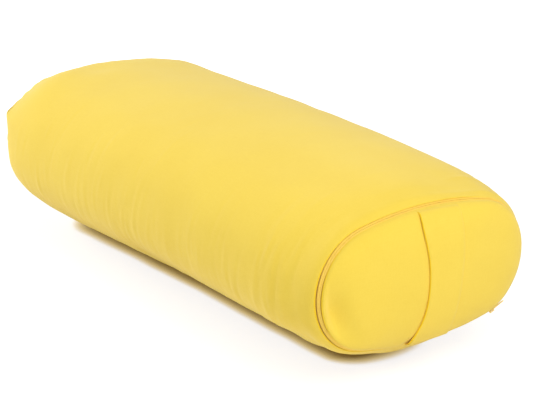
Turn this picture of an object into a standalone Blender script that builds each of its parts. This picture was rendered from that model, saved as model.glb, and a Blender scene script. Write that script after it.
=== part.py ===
"""Oval yoga bolster: a zipped cotton cover with a handle band, over a zipped liner full of fibre.

Units are metres. X runs along the bolster, towards the end with the zip and the handle,
Y runs across it and Z is up. The origin is on the floor, under the middle of the bolster.
"""

import math

import bmesh
import bpy
from mathutils import Matrix, Vector

# Body of the bolster
LENGTH = 0.650                  # over the rear panel and the handle band
BODY_HALF_WIDTH = 0.1445
WIDEST_LINE_Z = 0.0945          # height of the widest line above the floor
CROWN_HEIGHT = 0.0960           # from the widest line to the top
CROWN_SHOULDER_RADIUS = 0.088
BELLY_SHOULDER_RADIUS = 0.064
REST_FLAT_DEPTH = 0.0050        # how far the belly is pressed flat where it stands
END_ROUND_LENGTH = 0.082        # stretch over which each end draws in to its panel
END_ROUND_POWER = 2.7

# Oval end panels
RING_HALF_WIDTH = 0.1258
RING_HALF_HEIGHT = 0.0698
RING_SIDE_RADIUS = 0.063
RING_CENTRE_Z = 0.1035
PANEL_DOME = 0.019              # bulge of each end panel beyond its seam
DOME_FLATNESS = 2.3
DOME_EDGE_ROUNDNESS = 1.7
REAR_SEAM_RIDGE = 0.0015        # the sewn rear seam stands proud by this much

# Cloth and gaps
COVER_CLOTH = 0.0009
LINER_CLOTH = 0.0005
TOUCHING_GAP = 0.0003           # between pieces that lie against each other
LINER_GAP = 0.0007              # between cover and liner
FILL_GAP = 0.0005               # between liner and fill
LINER_ZIP_ROOM = 0.0042         # extra depth of the liner behind the cover's zip
REAR_SEAM_ROOM = 0.0020         # and behind the cover's rear seam

# Zip of the cover, round the front panel
BAND_TILT = math.radians(38.0)  # slope of the zip band, from the bolster's axis
BAND_HALF_GAP = 0.0029          # from the chain's middle to the edge of the cloth
HEM_WIDTH = 0.0100              # from the chain's middle to the end of the folded hem
CHAIN_HALF_SPLIT = 0.0006       # half the space between the two coils
COIL_WIDTH = 0.0021
COVER_COIL_HEIGHT = 0.0016
COVER_TAPE_THICKNESS = 0.0006
COVER_TAPE_REACH = 0.0096       # from the chain's middle to the tape's outer edge
SEWN_HALF_COLUMNS = 1           # columns each side of the lowest point that are sewn shut
CHAIN_CLOSED_ANGLE = math.radians(-73.0)
SLIDER_REST_ANGLE = math.radians(-66.0)
CHAIN_OPEN_COLUMN = 33.8        # columns along the ring where coil and tape end
TAPE_OPEN_COLUMN = 34.0
TAPE_CLOSED_COLUMN = 38.0

# Zip of the liner, straight along its side
LINER_ZIP_LENGTH = 0.300
LINER_TAPE_TAIL = 0.010         # tape beyond each end of the opening
LINER_TAPE_WIDTH = 0.0110
LINER_TAPE_THICKNESS = 0.0005
LINER_COIL_HEIGHT = 0.0014
LINER_ZIP_LIFT = 0.0085         # the chain's height above the widest line
LINER_SLOT_HALF_WIDTH = 0.0032
CHANNEL_DEPTH = 0.0080          # the liner lies this far inside the cover along its zip
CHANNEL_END_ROOM = 0.008        # from the tape's end to where the liner starts to rise
CHANNEL_RAMP = 0.020
LINER_SLIDER_BACK = 0.0080      # from the chain's closed end to the middle of the slider

# Sliders, pull tab and stops
SLIDER_LENGTH = 0.0100
SLIDER_WIDTH = 0.0086
SLIDER_PLATE = 0.0011
SLIDER_CLEARANCE = 0.0005
POST_WIDTH = 0.0006
POST_LENGTH = 0.0025
POST_FORWARD = 0.0028           # from the slider's middle towards the closed end
CROWN_WIDTH = 0.0018
CROWN_OPENING_LENGTH = 0.0032
CROWN_OPENING_HEIGHT = 0.0018
CROWN_BAR = 0.0010
TAB_LENGTH = 0.0160             # from the hinge bar to the far end
TAB_WIDTH = 0.0054
TAB_BAR = 0.0010
TAB_EYE_WIDTH = 0.0030
TAB_EYE_REACH = 0.0050
TAB_REST_LEAN = math.radians(90.0)  # laid flat, along the closed chain
STOP_LENGTH = 0.0020
STOP_HEIGHT = 0.0018
EDGE_BEVEL = 0.0003

# Handle band over the front panel
HANDLE_HALF_WIDTH = 0.0240
HANDLE_TOP_Y = 0.0150
HANDLE_BOTTOM_Y = 0.0030
HANDLE_CLOTH = 0.0008
HANDLE_INTERLINING = 0.0005
HANDLE_REST_GAP = 0.0005        # over the panel at the sewn ends
HANDLE_SLACK = 0.0020           # how much further off it stands in the middle
HANDLE_ALONG_STEPS = 20
HANDLE_ACROSS_STEPS = 4
HANDLE_INTERLINING_INSET = 0.0030
HANDLE_END_INSET = 0.0034       # from the chain's middle to the sewn ends

# Fineness of the mesh
SIDE_STEPS = 8
CAP_STEPS = 4
QUARTER_STEPS = SIDE_STEPS + CAP_STEPS
COLUMNS = 4 * QUARTER_STEPS
INNER_COLUMNS = COLUMNS // 2    # columns of the liner and the fill
BODY_SIDE_SHARE = 0.53          # part of the body's quarter outline in the side steps
END_ROUND_SHARES = (0.15, 0.4, 0.7, 1.0)
PANEL_SHARES = (0.88, 0.68, 0.44, 0.2)
REAR_PANEL_SHARES = (0.97, 0.88, 0.68, 0.44, 0.2)
SLOPE_SAMPLE = 0.002            # half the stretch over which the panel's slope is taken

# Sizes that follow from those above
HANDLE_STACK = 2 * HANDLE_CLOTH + HANDLE_INTERLINING + 2 * TOUCHING_GAP
FRONT_REACH = PANEL_DOME + HANDLE_REST_GAP + HANDLE_SLACK + HANDLE_STACK
FRONT_RING_X = LENGTH / 2 - FRONT_REACH
REAR_RING_X = -(LENGTH / 2 - PANEL_DOME)
HEM = 2 * COVER_CLOTH
COVER_TAPE_DEPTH = HEM + TOUCHING_GAP
COVER_COIL_DEPTH = COVER_TAPE_DEPTH - TOUCHING_GAP
LOWEST_COLUMN = 3 * QUARTER_STEPS
LINER_BASE_DEPTH = COVER_CLOTH + LINER_GAP
FILL_EXTRA_DEPTH = LINER_CLOTH + FILL_GAP
CONE_RISE = HEM_WIDTH * math.sin(BAND_TILT)
CONE_RUN = HEM_WIDTH * math.cos(BAND_TILT)
LINER_TAPE_LENGTH = LINER_ZIP_LENGTH + 2 * LINER_TAPE_TAIL
CHANNEL_HALF_LENGTH = LINER_TAPE_LENGTH / 2 + CHANNEL_END_ROOM
CHANNEL_Y = BODY_HALF_WIDTH - CHANNEL_DEPTH
LINER_ZIP_Z = WIDEST_LINE_Z + LINER_ZIP_LIFT
LINER_TAPE_FACE_Y = CHANNEL_Y - LINER_CLOTH - TOUCHING_GAP
LINER_SLIDER_DROP = LINER_TAPE_THICKNESS + SLIDER_CLEARANCE + SLIDER_PLATE

FORWARD = Vector((1.0, 0.0, 0.0))


# Scene and materials

def clear_scene():
    for old in list(bpy.data.objects):
        bpy.data.objects.remove(old, do_unlink=True)


def new_collection(name):
    collection = bpy.data.collections.new(name)
    bpy.context.scene.collection.children.link(collection)
    return collection


def new_material(name, colour, roughness, metallic=0.0):
    material = bpy.data.materials.new(name)
    material.use_nodes = True
    shader = material.node_tree.nodes["Principled BSDF"]
    shader.inputs["Base Color"].default_value = (*colour, 1.0)
    shader.inputs["Roughness"].default_value = roughness
    shader.inputs["Metallic"].default_value = metallic
    return material


def new_object(name, mesh, material, collection):
    made = bpy.data.objects.new(name, mesh)
    made.data.materials.append(material)
    collection.objects.link(made)
    return made


def smooth_mesh(mesh, sharp_degrees=35.0):
    mesh.shade_smooth()
    mesh.set_sharp_from_angle(angle=math.radians(sharp_degrees))


# Ovals drawn with four arcs

def cap_radius(half_width, half_height, side_radius):
    offset = half_width - side_radius
    return (offset ** 2 + half_height ** 2 - side_radius ** 2) / (2 * (half_height - side_radius))


def quarter_point(half_width, half_height, side_radius, step, side_share=None):
    """Point and outward direction on a quarter oval, from its side (0) to its top.

    side_share is the part of its length that the side steps take. Without it they end
    where the side arc does.
    """
    big_radius = cap_radius(half_width, half_height, side_radius)
    join = math.atan2(big_radius - half_height, half_width - side_radius)
    side_length = join * side_radius
    length = side_length + (math.pi / 2 - join) * big_radius
    side_reach = side_length if side_share is None else side_share * length
    if step <= SIDE_STEPS:
        travelled = side_reach * step / SIDE_STEPS
    else:
        travelled = side_reach + (length - side_reach) * (step - SIDE_STEPS) / CAP_STEPS
    if travelled <= side_length:
        angle = travelled / side_radius
        centre = (half_width - side_radius, 0.0)
        radius = side_radius
    else:
        angle = join + (travelled - side_length) / big_radius
        centre = (0.0, half_height - big_radius)
        radius = big_radius
    out = (math.cos(angle), math.sin(angle))
    return (centre[0] + radius * out[0], centre[1] + radius * out[1]), out


def oval_point(half_width, top, bottom, top_radius, bottom_radius, column, side_share=None):
    """Columns count from +Y over the top to -Y and back underneath."""
    quadrant = int(column // QUARTER_STEPS) % 4
    step = column - QUARTER_STEPS * (column // QUARTER_STEPS)
    if quadrant in (1, 3):
        step = QUARTER_STEPS - step
    side = 1.0 if quadrant in (0, 3) else -1.0
    up = 1.0 if quadrant in (0, 1) else -1.0
    height, radius = (top, top_radius) if up > 0 else (bottom, bottom_radius)
    point, out = quarter_point(half_width, height, radius, step, side_share)
    return (Vector((0.0, side * point[0], up * point[1])),
            Vector((0.0, side * out[0], up * out[1])))


def ring_point(column):
    point, out = oval_point(RING_HALF_WIDTH, RING_HALF_HEIGHT, RING_HALF_HEIGHT,
                            RING_SIDE_RADIUS, RING_SIDE_RADIUS, column)
    return point + Vector((0.0, 0.0, RING_CENTRE_Z)), out


def body_point(column):
    point, _ = oval_point(BODY_HALF_WIDTH, CROWN_HEIGHT, WIDEST_LINE_Z + REST_FLAT_DEPTH,
                          CROWN_SHOULDER_RADIUS, BELLY_SHOULDER_RADIUS, column,
                          BODY_SIDE_SHARE)
    return Vector((0.0, point.y, max(point.z + WIDEST_LINE_Z, 0.0)))


def band_point(column, across, depth=0.0):
    """Point of the zip band: across is towards the panel, depth is into the bolster."""
    point, out = ring_point(column)
    towards_panel = -math.sin(BAND_TILT) * out + math.cos(BAND_TILT) * FORWARD
    outward = math.cos(BAND_TILT) * out + math.sin(BAND_TILT) * FORWARD
    return point + FRONT_RING_X * FORWARD + across * towards_panel - depth * outward


def band_frame(column, depth):
    """Place on the band: x along the chain, y towards the panel, z outward."""
    _, out = ring_point(column)
    along = FORWARD.cross(out)
    towards_panel = -math.sin(BAND_TILT) * out + math.cos(BAND_TILT) * FORWARD
    outward = math.cos(BAND_TILT) * out + math.sin(BAND_TILT) * FORWARD
    turn = Matrix((along, towards_panel, outward)).transposed().to_4x4()
    return Matrix.Translation(band_point(column, 0.0, depth)) @ turn


def side_arc_column(angle):
    """Column of a point on the arc round the +Y side of the ring."""
    big_radius = cap_radius(RING_HALF_WIDTH, RING_HALF_HEIGHT, RING_SIDE_RADIUS)
    join = math.atan2(big_radius - RING_HALF_HEIGHT, RING_HALF_WIDTH - RING_SIDE_RADIUS)
    return (angle / join * SIDE_STEPS) % COLUMNS


# Rows of the skin, from the rear panel to the front panel

def dome_height(share, reach):
    return reach * (1.0 - share ** DOME_FLATNESS) ** (1.0 / DOME_EDGE_ROUNDNESS)


def rear_panel_row(share):
    centre = Vector((0.0, 0.0, RING_CENTRE_Z))
    depth = REAR_RING_X - dome_height(share, PANEL_DOME)
    return [centre + (ring_point(c)[0] - centre) * share + depth * FORWARD for c in range(COLUMNS)]


def rear_ring_row():
    row = []
    for column in range(COLUMNS):
        point, out = ring_point(column)
        row.append(point + REAR_SEAM_RIDGE * out + REAR_RING_X * FORWARD)
    return row


def rear_round_row(share):
    x = REAR_RING_X + share * END_ROUND_LENGTH
    row = []
    for column in range(COLUMNS):
        drawn_in = (ring_point(column)[0] - body_point(column)) * (1.0 - share) ** END_ROUND_POWER
        row.append(body_point(column) + drawn_in + x * FORWARD)
    return row


def straight_row(x):
    return [body_point(column) + x * FORWARD for column in range(COLUMNS)]


def front_round_row(share):
    x = FRONT_RING_X - CONE_RUN - share * (END_ROUND_LENGTH - CONE_RUN)
    row = []
    for column in range(COLUMNS):
        hem_end = band_point(column, -HEM_WIDTH)
        hem_end.x = 0.0
        drawn_in = (hem_end - body_point(column)) * (1.0 - share) ** END_ROUND_POWER
        row.append(body_point(column) + drawn_in + x * FORWARD)
    return row


def band_row(across):
    return [band_point(column, across) for column in range(COLUMNS)]


def cloth_edge_row(side):
    """Edge of the cloth beside the chain; it closes up where the panel is sewn on."""
    row = []
    for column in range(COLUMNS):
        sewn = abs(column - LOWEST_COLUMN) <= SEWN_HALF_COLUMNS
        row.append(band_point(column, side * (TOUCHING_GAP / 2 if sewn else BAND_HALF_GAP)))
    return row


def front_panel_row(share):
    x = FRONT_RING_X + CONE_RUN + dome_height(share, PANEL_DOME - CONE_RUN)
    centre = Vector((0.0, 0.0, RING_CENTRE_Z))
    row = []
    for column in range(COLUMNS):
        rim = band_point(column, HEM_WIDTH)
        rim.x = 0.0
        row.append(centre + (rim - centre) * share + x * FORWARD)
    return row


REAR_POLE = Vector((REAR_RING_X - PANEL_DOME, 0.0, RING_CENTRE_Z))
FRONT_POLE = Vector((FRONT_RING_X + PANEL_DOME, 0.0, RING_CENTRE_Z))


def skin_rows():
    """Named rows of the cover's outer skin, rear to front."""
    rows = [("rear_panel", rear_panel_row(share)) for share in reversed(REAR_PANEL_SHARES)]
    rows.append(("rear_ring", rear_ring_row()))
    rows += [("rear_round", rear_round_row(share)) for share in END_ROUND_SHARES]
    ramp_start = CHANNEL_HALF_LENGTH + CHANNEL_RAMP
    rows.append(("straight", straight_row(-ramp_start)))
    rows.append(("channel", straight_row(-CHANNEL_HALF_LENGTH)))
    rows.append(("channel", straight_row(CHANNEL_HALF_LENGTH)))
    rows.append(("straight", straight_row(ramp_start)))
    rows += [("front_round", front_round_row(share)) for share in reversed(END_ROUND_SHARES)]
    rows.append(("hem_end", band_row(-HEM_WIDTH)))
    rows.append(("tube_edge", cloth_edge_row(-1.0)))
    rows.append(("front_ring", band_row(0.0)))
    rows.append(("panel_edge", cloth_edge_row(1.0)))
    rows.append(("panel_hem", band_row(HEM_WIDTH)))
    rows += [("front_panel", front_panel_row(share)) for share in PANEL_SHARES]
    return rows


def skin_normals(rows):
    """Outward direction at each point of the rows, from its neighbours."""
    normals = []
    for j, (_, row) in enumerate(rows):
        before = rows[j - 1][1] if j > 0 else [REAR_POLE] * COLUMNS
        after = rows[j + 1][1] if j + 1 < len(rows) else [FRONT_POLE] * COLUMNS
        line = []
        for i in range(COLUMNS):
            round_way = row[(i + 1) % COLUMNS] - row[i - 1]
            along_way = (after[i] - row[i]).normalized() + (row[i] - before[i]).normalized()
            line.append(round_way.cross(along_way).normalized())
        normals.append(line)
    return normals


# Meshes made from rows

def add_strip(mesh, low, high, facing_in=False):
    """Faces between two closed rows, each split so that the skin bulges outward."""
    count = len(low)
    for i in range(count):
        j = (i + 1) % count
        a, b, c, d = low[i], low[j], high[j], high[i]
        lift = (b.co - a.co).cross(c.co - a.co).dot(d.co - a.co)
        if (lift > 0) == facing_in:
            mesh.faces.new((a, b, c))
            mesh.faces.new((a, c, d))
        else:
            mesh.faces.new((a, b, d))
            mesh.faces.new((b, c, d))


def add_fan(mesh, ring, pole, pole_in_front):
    count = len(ring)
    for i in range(count):
        j = (i + 1) % count
        corners = (ring[i], ring[j], pole) if pole_in_front else (ring[j], ring[i], pole)
        mesh.faces.new(corners)


def shell_mesh(name, outer, inner, outer_pole=None, inner_pole=None, pole_in_front=True):
    """Closed cloth between two sets of rows, with an optional pole at one end of both."""
    mesh = bmesh.new()
    out_rows = [[mesh.verts.new(p) for p in row] for row in outer]
    in_rows = [[mesh.verts.new(p) for p in row] for row in inner]
    for low, high in zip(out_rows, out_rows[1:]):
        add_strip(mesh, low, high)
    turned = [list(reversed(row)) for row in in_rows]
    for low, high in zip(turned, turned[1:]):
        add_strip(mesh, low, high, facing_in=True)
    if outer_pole is None or not pole_in_front:
        add_strip(mesh, out_rows[-1], in_rows[-1])
    if outer_pole is None or pole_in_front:
        add_strip(mesh, in_rows[0], out_rows[0])
    if outer_pole is not None:
        end = -1 if pole_in_front else 0
        add_fan(mesh, out_rows[end], mesh.verts.new(outer_pole), pole_in_front)
        add_fan(mesh, list(reversed(in_rows[end])), mesh.verts.new(inner_pole), pole_in_front)
    return finished_mesh(name, mesh)


def sweep_mesh(name, sections):
    """Closed bar through a list of sections, flat at both ends."""
    mesh = bmesh.new()
    rows = [[mesh.verts.new(p) for p in section] for section in sections]
    for low, high in zip(rows, rows[1:]):
        add_strip(mesh, low, high)
    mesh.faces.new(list(reversed(rows[0])))
    mesh.faces.new(rows[-1])
    return finished_mesh(name, mesh)


def finished_mesh(name, mesh):
    bmesh.ops.recalc_face_normals(mesh, faces=mesh.faces)
    data = bpy.data.meshes.new(name)
    mesh.to_mesh(data)
    mesh.free()
    smooth_mesh(data)
    return data


def box_mesh(name, low, high):
    mesh = bmesh.new()
    bmesh.ops.create_cube(mesh, size=1.0)
    size = Vector(high) - Vector(low)
    centre = (Vector(high) + Vector(low)) / 2
    for vert in mesh.verts:
        vert.co = Vector([v * s for v, s in zip(vert.co, size)]) + centre
    data = bpy.data.meshes.new(name)
    mesh.to_mesh(data)
    mesh.free()
    return data


def add_bevel(made, width=EDGE_BEVEL):
    bevel = made.modifiers.new("edge", "BEVEL")
    bevel.width = width
    bevel.segments = 1
    bevel.limit_method = "ANGLE"


def add_boolean(made, other, operation):
    cut = made.modifiers.new(other.name, "BOOLEAN")
    cut.operation = operation
    cut.solver = "EXACT"
    cut.object = other


def helper(name, mesh, parent=None):
    made = bpy.data.objects.new(name, mesh)
    HELPERS.objects.link(made)
    made.hide_render = True
    made.display_type = "WIRE"
    made.parent = parent
    return made


# Layers of cloth cut from the skin

class Skin:
    """The outer skin of the cover, from which every layer is measured inward."""

    def __init__(self):
        self.rows = skin_rows()
        self.normals = skin_normals(self.rows)

    def pick(self, first, last, leave_out=()):
        """Row numbers from the first so named to the last so named."""
        names = [name for name, _ in self.rows]
        start = names.index(first)
        end = len(names) - 1 - names[::-1].index(last)
        return [j for j in range(start, end + 1) if names[j] not in leave_out]

    def sunk(self, j, depth, columns=COLUMNS):
        row = self.rows[j][1]
        picked = range(0, COLUMNS, COLUMNS // columns)
        return [row[i] - depth * self.normals[j][i] for i in picked]

    def name(self, j):
        return self.rows[j][0]


def cover_depth(name):
    return HEM if name in ("hem_end", "tube_edge", "panel_edge", "panel_hem") else COVER_CLOTH


def shifted(row, along):
    return [point + along * FORWARD for point in row]


def make_cover_tube(skin, cloth):
    picked = skin.pick("rear_ring", "tube_edge", leave_out=("straight", "channel"))
    outer = [skin.sunk(j, 0.0) for j in picked]
    inner = [skin.sunk(j, cover_depth(skin.name(j))) for j in picked]
    outer[0] = shifted(outer[0], TOUCHING_GAP / 2)
    inner[0] = shifted(inner[0], TOUCHING_GAP / 2)
    new_object("cover_tube", shell_mesh("cover_tube", outer, inner), cloth, PARTS)


def make_cover_front_panel(skin, cloth):
    picked = skin.pick("panel_edge", "front_panel")
    outer = [skin.sunk(j, 0.0) for j in picked]
    inner = [skin.sunk(j, cover_depth(skin.name(j))) for j in picked]
    mesh = shell_mesh("cover_front_panel", outer, inner,
                      FRONT_POLE, FRONT_POLE - COVER_CLOTH * FORWARD)
    new_object("cover_front_panel", mesh, cloth, PARTS)


def make_cover_rear_panel(skin, cloth):
    picked = skin.pick("rear_panel", "rear_ring")
    outer = [skin.sunk(j, 0.0) for j in picked]
    inner = [skin.sunk(j, COVER_CLOTH) for j in picked]
    outer[-1] = shifted(outer[-1], -TOUCHING_GAP / 2)
    inner[-1] = shifted(inner[-1], -TOUCHING_GAP / 2)
    mesh = shell_mesh("cover_rear_panel", outer, inner,
                      REAR_POLE, REAR_POLE + COVER_CLOTH * FORWARD, pole_in_front=False)
    new_object("cover_rear_panel", mesh, cloth, PARTS)


# Liner and fill

ZIP_ROOM_SHARES = {"front_ring": 1.0, "panel_hem": 0.85, "hem_end": 0.95}


def liner_depth(skin, j):
    """The liner lies against the cover, and deeper at the cover's zip and rear seam."""
    name = skin.name(j)
    if name == "rear_ring":
        return LINER_BASE_DEPTH + REAR_SEAM_ROOM
    if name == "front_round":
        nearness = FRONT_RING_X - skin.rows[j][1][0].x
        return LINER_BASE_DEPTH + LINER_ZIP_ROOM * max(0.0, 1.0 - nearness / END_ROUND_LENGTH)
    if name == "front_panel":
        rim = band_point(0, HEM_WIDTH).y
        share = skin.rows[j][1][0].y / rim
        return LINER_BASE_DEPTH + LINER_ZIP_ROOM * ZIP_ROOM_SHARES["panel_hem"] * share ** 2
    return LINER_BASE_DEPTH + LINER_ZIP_ROOM * ZIP_ROOM_SHARES.get(name, 0.0)


def inner_row(skin, j, extra, channel_drop=0.0):
    """A row of liner or fill; along the liner's zip it is pressed flat."""
    row = skin.sunk(j, liner_depth(skin, j) + extra, INNER_COLUMNS)
    if skin.name(j) == "channel":
        for i in (-1, 0, 1):
            row[i].y = CHANNEL_Y - channel_drop
    return row


def make_liner_tube(skin, cloth):
    picked = skin.pick("rear_ring", "front_ring", leave_out=("hem_end", "tube_edge"))
    outer = [inner_row(skin, j, 0.0) for j in picked]
    inner = [inner_row(skin, j, LINER_CLOTH, LINER_CLOTH) for j in picked]
    for rows in (outer, inner):
        rows[0] = shifted(rows[0], TOUCHING_GAP / 2)
        rows[-1] = shifted(rows[-1], -TOUCHING_GAP / 2)
    liner = new_object("liner_tube", shell_mesh("liner_tube", outer, inner), cloth, PARTS)
    half = LINER_ZIP_LENGTH / 2
    reach = CHANNEL_DEPTH / 2
    slot = box_mesh("liner_slot",
                    (-half, CHANNEL_Y - reach, LINER_ZIP_Z - LINER_SLOT_HALF_WIDTH),
                    (half, CHANNEL_Y + reach, LINER_ZIP_Z + LINER_SLOT_HALF_WIDTH))
    add_boolean(liner, helper("liner_slot", slot), "DIFFERENCE")


def liner_panel(skin, name, picked, pole, inward, cloth):
    in_front = inward < 0
    outer = [inner_row(skin, j, 0.0) for j in picked]
    inner = [inner_row(skin, j, LINER_CLOTH) for j in picked]
    rim = 0 if in_front else -1
    outer[rim] = shifted(outer[rim], -inward * TOUCHING_GAP / 2)
    inner[rim] = shifted(inner[rim], -inward * TOUCHING_GAP / 2)
    outer_pole = pole + inward * LINER_BASE_DEPTH * FORWARD
    inner_pole = outer_pole + inward * LINER_CLOTH * FORWARD
    mesh = shell_mesh(name, outer, inner, outer_pole, inner_pole, pole_in_front=in_front)
    new_object(name, mesh, cloth, PARTS)


def make_liner_panels(skin, cloth):
    front = skin.pick("front_ring", "front_panel", leave_out=("panel_edge",))
    liner_panel(skin, "liner_front_panel", front, FRONT_POLE, -1.0, cloth)
    rear = skin.pick("rear_panel", "rear_ring")
    liner_panel(skin, "liner_rear_panel", rear, REAR_POLE, 1.0, cloth)


def make_fill(skin, fibre):
    names_left_out = ("hem_end", "tube_edge", "panel_edge")
    picked = skin.pick("rear_panel", "front_panel", leave_out=names_left_out)
    drop = LINER_CLOTH + TOUCHING_GAP + LINER_SLIDER_DROP + SLIDER_CLEARANCE
    mesh = bmesh.new()
    rows = []
    for j in picked:
        points = inner_row(skin, j, FILL_EXTRA_DEPTH, drop)
        rows.append([mesh.verts.new(point) for point in points])
    for low, high in zip(rows, rows[1:]):
        add_strip(mesh, low, high)
    sunk = LINER_BASE_DEPTH + FILL_EXTRA_DEPTH
    add_fan(mesh, rows[0], mesh.verts.new(REAR_POLE + sunk * FORWARD), False)
    add_fan(mesh, rows[-1], mesh.verts.new(FRONT_POLE - sunk * FORWARD), True)
    new_object("fibre_fill", finished_mesh("fibre_fill", mesh), fibre, PARTS)


# Zip pieces

def coil_profile(side, low, height):
    """Section of one coil: a bead with its two outer corners cut."""
    inner = CHAIN_HALF_SPLIT
    outer = inner + COIL_WIDTH
    corner = height / 3
    shape = [(inner, low), (outer, low), (outer, low + height - corner),
             (outer - corner, low + height), (inner + corner, low + height),
             (inner, low + height - corner)]
    return [(side * across, up) for across, up in shape]


def columns_between(start, end):
    """Start, every whole column passed on the way up, and the end."""
    if end < start:
        end += COLUMNS
    whole = range(math.floor(start) + 1, math.ceil(end))
    return [start, *whole, end]


def ring_sweep(name, profile, start, end):
    """Sweep a section of (across, outward) points along the band."""
    sections = []
    for column in columns_between(start, end):
        sections.append([band_point(column % COLUMNS, across, -up) for across, up in profile])
    return sweep_mesh(name, sections)


def make_cover_zip_halves(tape_cloth, coil_plastic):
    coil_start = side_arc_column(CHAIN_CLOSED_ANGLE)
    for half, side in (("body", -1.0), ("panel", 1.0)):
        near = side * CHAIN_HALF_SPLIT
        far = side * COVER_TAPE_REACH
        tape = [(near, -COVER_TAPE_DEPTH), (far, -COVER_TAPE_DEPTH),
                (far, -COVER_TAPE_DEPTH - COVER_TAPE_THICKNESS),
                (near, -COVER_TAPE_DEPTH - COVER_TAPE_THICKNESS)]
        name = f"cover_zip_tape_{half}_side"
        mesh = ring_sweep(name, tape, TAPE_CLOSED_COLUMN, TAPE_OPEN_COLUMN)
        new_object(name, mesh, tape_cloth, PARTS)
        name = f"cover_zip_coil_{half}_side"
        coil = coil_profile(side, -COVER_COIL_DEPTH, COVER_COIL_HEIGHT)
        mesh = ring_sweep(name, coil, coil_start, CHAIN_OPEN_COLUMN)
        new_object(name, mesh, coil_plastic, PARTS)


def stop_block(name, frame, across_low, across_high, start, metal):
    """Crimped stop on the tape, its near end at start along the frame's x."""
    low = (start, across_low, TOUCHING_GAP)
    high = (start + STOP_LENGTH, across_high, TOUCHING_GAP + STOP_HEIGHT)
    stop = new_object(name, box_mesh(name, low, high), metal, PARTS)
    stop.matrix_world = frame
    add_bevel(stop)


def make_cover_zip_stops(metal):
    closed = band_frame(side_arc_column(CHAIN_CLOSED_ANGLE), COVER_TAPE_DEPTH)
    opened = band_frame(CHAIN_OPEN_COLUMN, COVER_TAPE_DEPTH)
    start = -TOUCHING_GAP - STOP_LENGTH
    near = CHAIN_HALF_SPLIT
    far = CHAIN_HALF_SPLIT + COIL_WIDTH
    stop_block("cover_zip_top_stop_panel_side", closed, near, far, start, metal)
    stop_block("cover_zip_top_stop_body_side", closed, -far, -near, start, metal)
    stop_block("cover_zip_bottom_stop", opened, -far, far, TOUCHING_GAP, metal)


def slider_object(name, ride_height, tape_thickness, closing, with_crown, metal):
    """Slider with z = 0 on the tape's outer face and the chain running along x.

    closing is 1 where the slider closes the chain by moving along +x, and -1 along -x:
    the post that parts the two coils stands at that end.
    """
    half_length = SLIDER_LENGTH / 2
    half_width = SLIDER_WIDTH / 2
    top = ride_height + SLIDER_PLATE
    low = -tape_thickness - SLIDER_CLEARANCE
    plate = box_mesh(name, (-half_length, -half_width, ride_height), (half_length, half_width, top))
    slider = new_object(name, plate, metal, PARTS)
    add_bevel(slider)
    lower = box_mesh("lower", (-half_length, -half_width, low - SLIDER_PLATE),
                     (half_length, half_width, low))
    sunk = SLIDER_PLATE / 2
    post_low = closing * POST_FORWARD - POST_LENGTH / 2
    post = box_mesh("post", (post_low, -POST_WIDTH / 2, low - sunk),
                    (post_low + POST_LENGTH, POST_WIDTH / 2, ride_height + sunk))
    pieces = [("post", post), ("lower", lower)]
    if with_crown:
        inside = CROWN_OPENING_LENGTH / 2
        outside = inside + CROWN_BAR
        half = CROWN_WIDTH / 2
        peak = top + CROWN_OPENING_HEIGHT + CROWN_BAR
        arch = box_mesh("arch", (-outside, -half, top - sunk), (outside, half, peak))
        opening = box_mesh("opening", (-inside, -CROWN_WIDTH, top),
                           (inside, CROWN_WIDTH, top + CROWN_OPENING_HEIGHT))
        arch_part = helper(f"{name}_arch", arch, slider)
        add_boolean(arch_part, helper(f"{name}_opening", opening, slider), "DIFFERENCE")
        add_boolean(slider, arch_part, "UNION")
    for part, mesh in pieces:
        add_boolean(slider, helper(f"{name}_{part}", mesh, slider), "UNION")
    return slider


def slider_axis_empty(name, place):
    axis = bpy.data.objects.new(name, None)
    HELPERS.objects.link(axis)
    axis.location = place
    bpy.context.view_layer.update()
    return axis


def make_cover_slider(metal):
    """The slider turns about the middle of the ring's side arc."""
    arc_centre = Vector((FRONT_RING_X, RING_HALF_WIDTH - RING_SIDE_RADIUS, RING_CENTRE_Z))
    axis = slider_axis_empty("cover_zip_track_axis", arc_centre)
    ride = COVER_TAPE_DEPTH + SLIDER_CLEARANCE
    slider = slider_object("cover_zip_slider", ride, COVER_TAPE_THICKNESS, -1, True, metal)
    frame = band_frame(side_arc_column(SLIDER_REST_ANGLE), COVER_TAPE_DEPTH)
    slider.parent = axis
    slider.matrix_world = frame
    hinge_height = ride + SLIDER_PLATE + CROWN_OPENING_HEIGHT / 2
    make_pull_tab(frame @ Matrix.Translation((0.0, 0.0, hinge_height)), axis, metal)


def make_pull_tab(frame, axis, metal):
    """Tab with its hinge bar at the origin and its length along its own z."""
    half_bar = TAB_BAR / 2
    half_width = TAB_WIDTH / 2
    plate = box_mesh("cover_zip_pull_tab", (-half_bar, -half_width, -half_bar),
                     (half_bar, half_width, TAB_LENGTH))
    tab = new_object("cover_zip_pull_tab", plate, metal, PARTS)
    eye_half = TAB_EYE_WIDTH / 2
    eye = box_mesh("eye", (-TAB_WIDTH, -eye_half, half_bar), (TAB_WIDTH, eye_half, TAB_EYE_REACH))
    add_boolean(tab, helper("cover_zip_pull_tab_eye", eye, tab), "DIFFERENCE")
    tab.parent = axis
    tab.matrix_world = frame @ Matrix.Rotation(TAB_REST_LEAN, 4, "Y")


# Zip of the liner

def liner_zip_frame(x):
    """Place on the liner's zip: x along the chain, y down across it, z out of the side."""
    turn = Matrix(((1, 0, 0), (0, 0, -1), (0, 1, 0))).transposed().to_4x4()
    return Matrix.Translation((x, LINER_TAPE_FACE_Y, LINER_ZIP_Z)) @ turn


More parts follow.
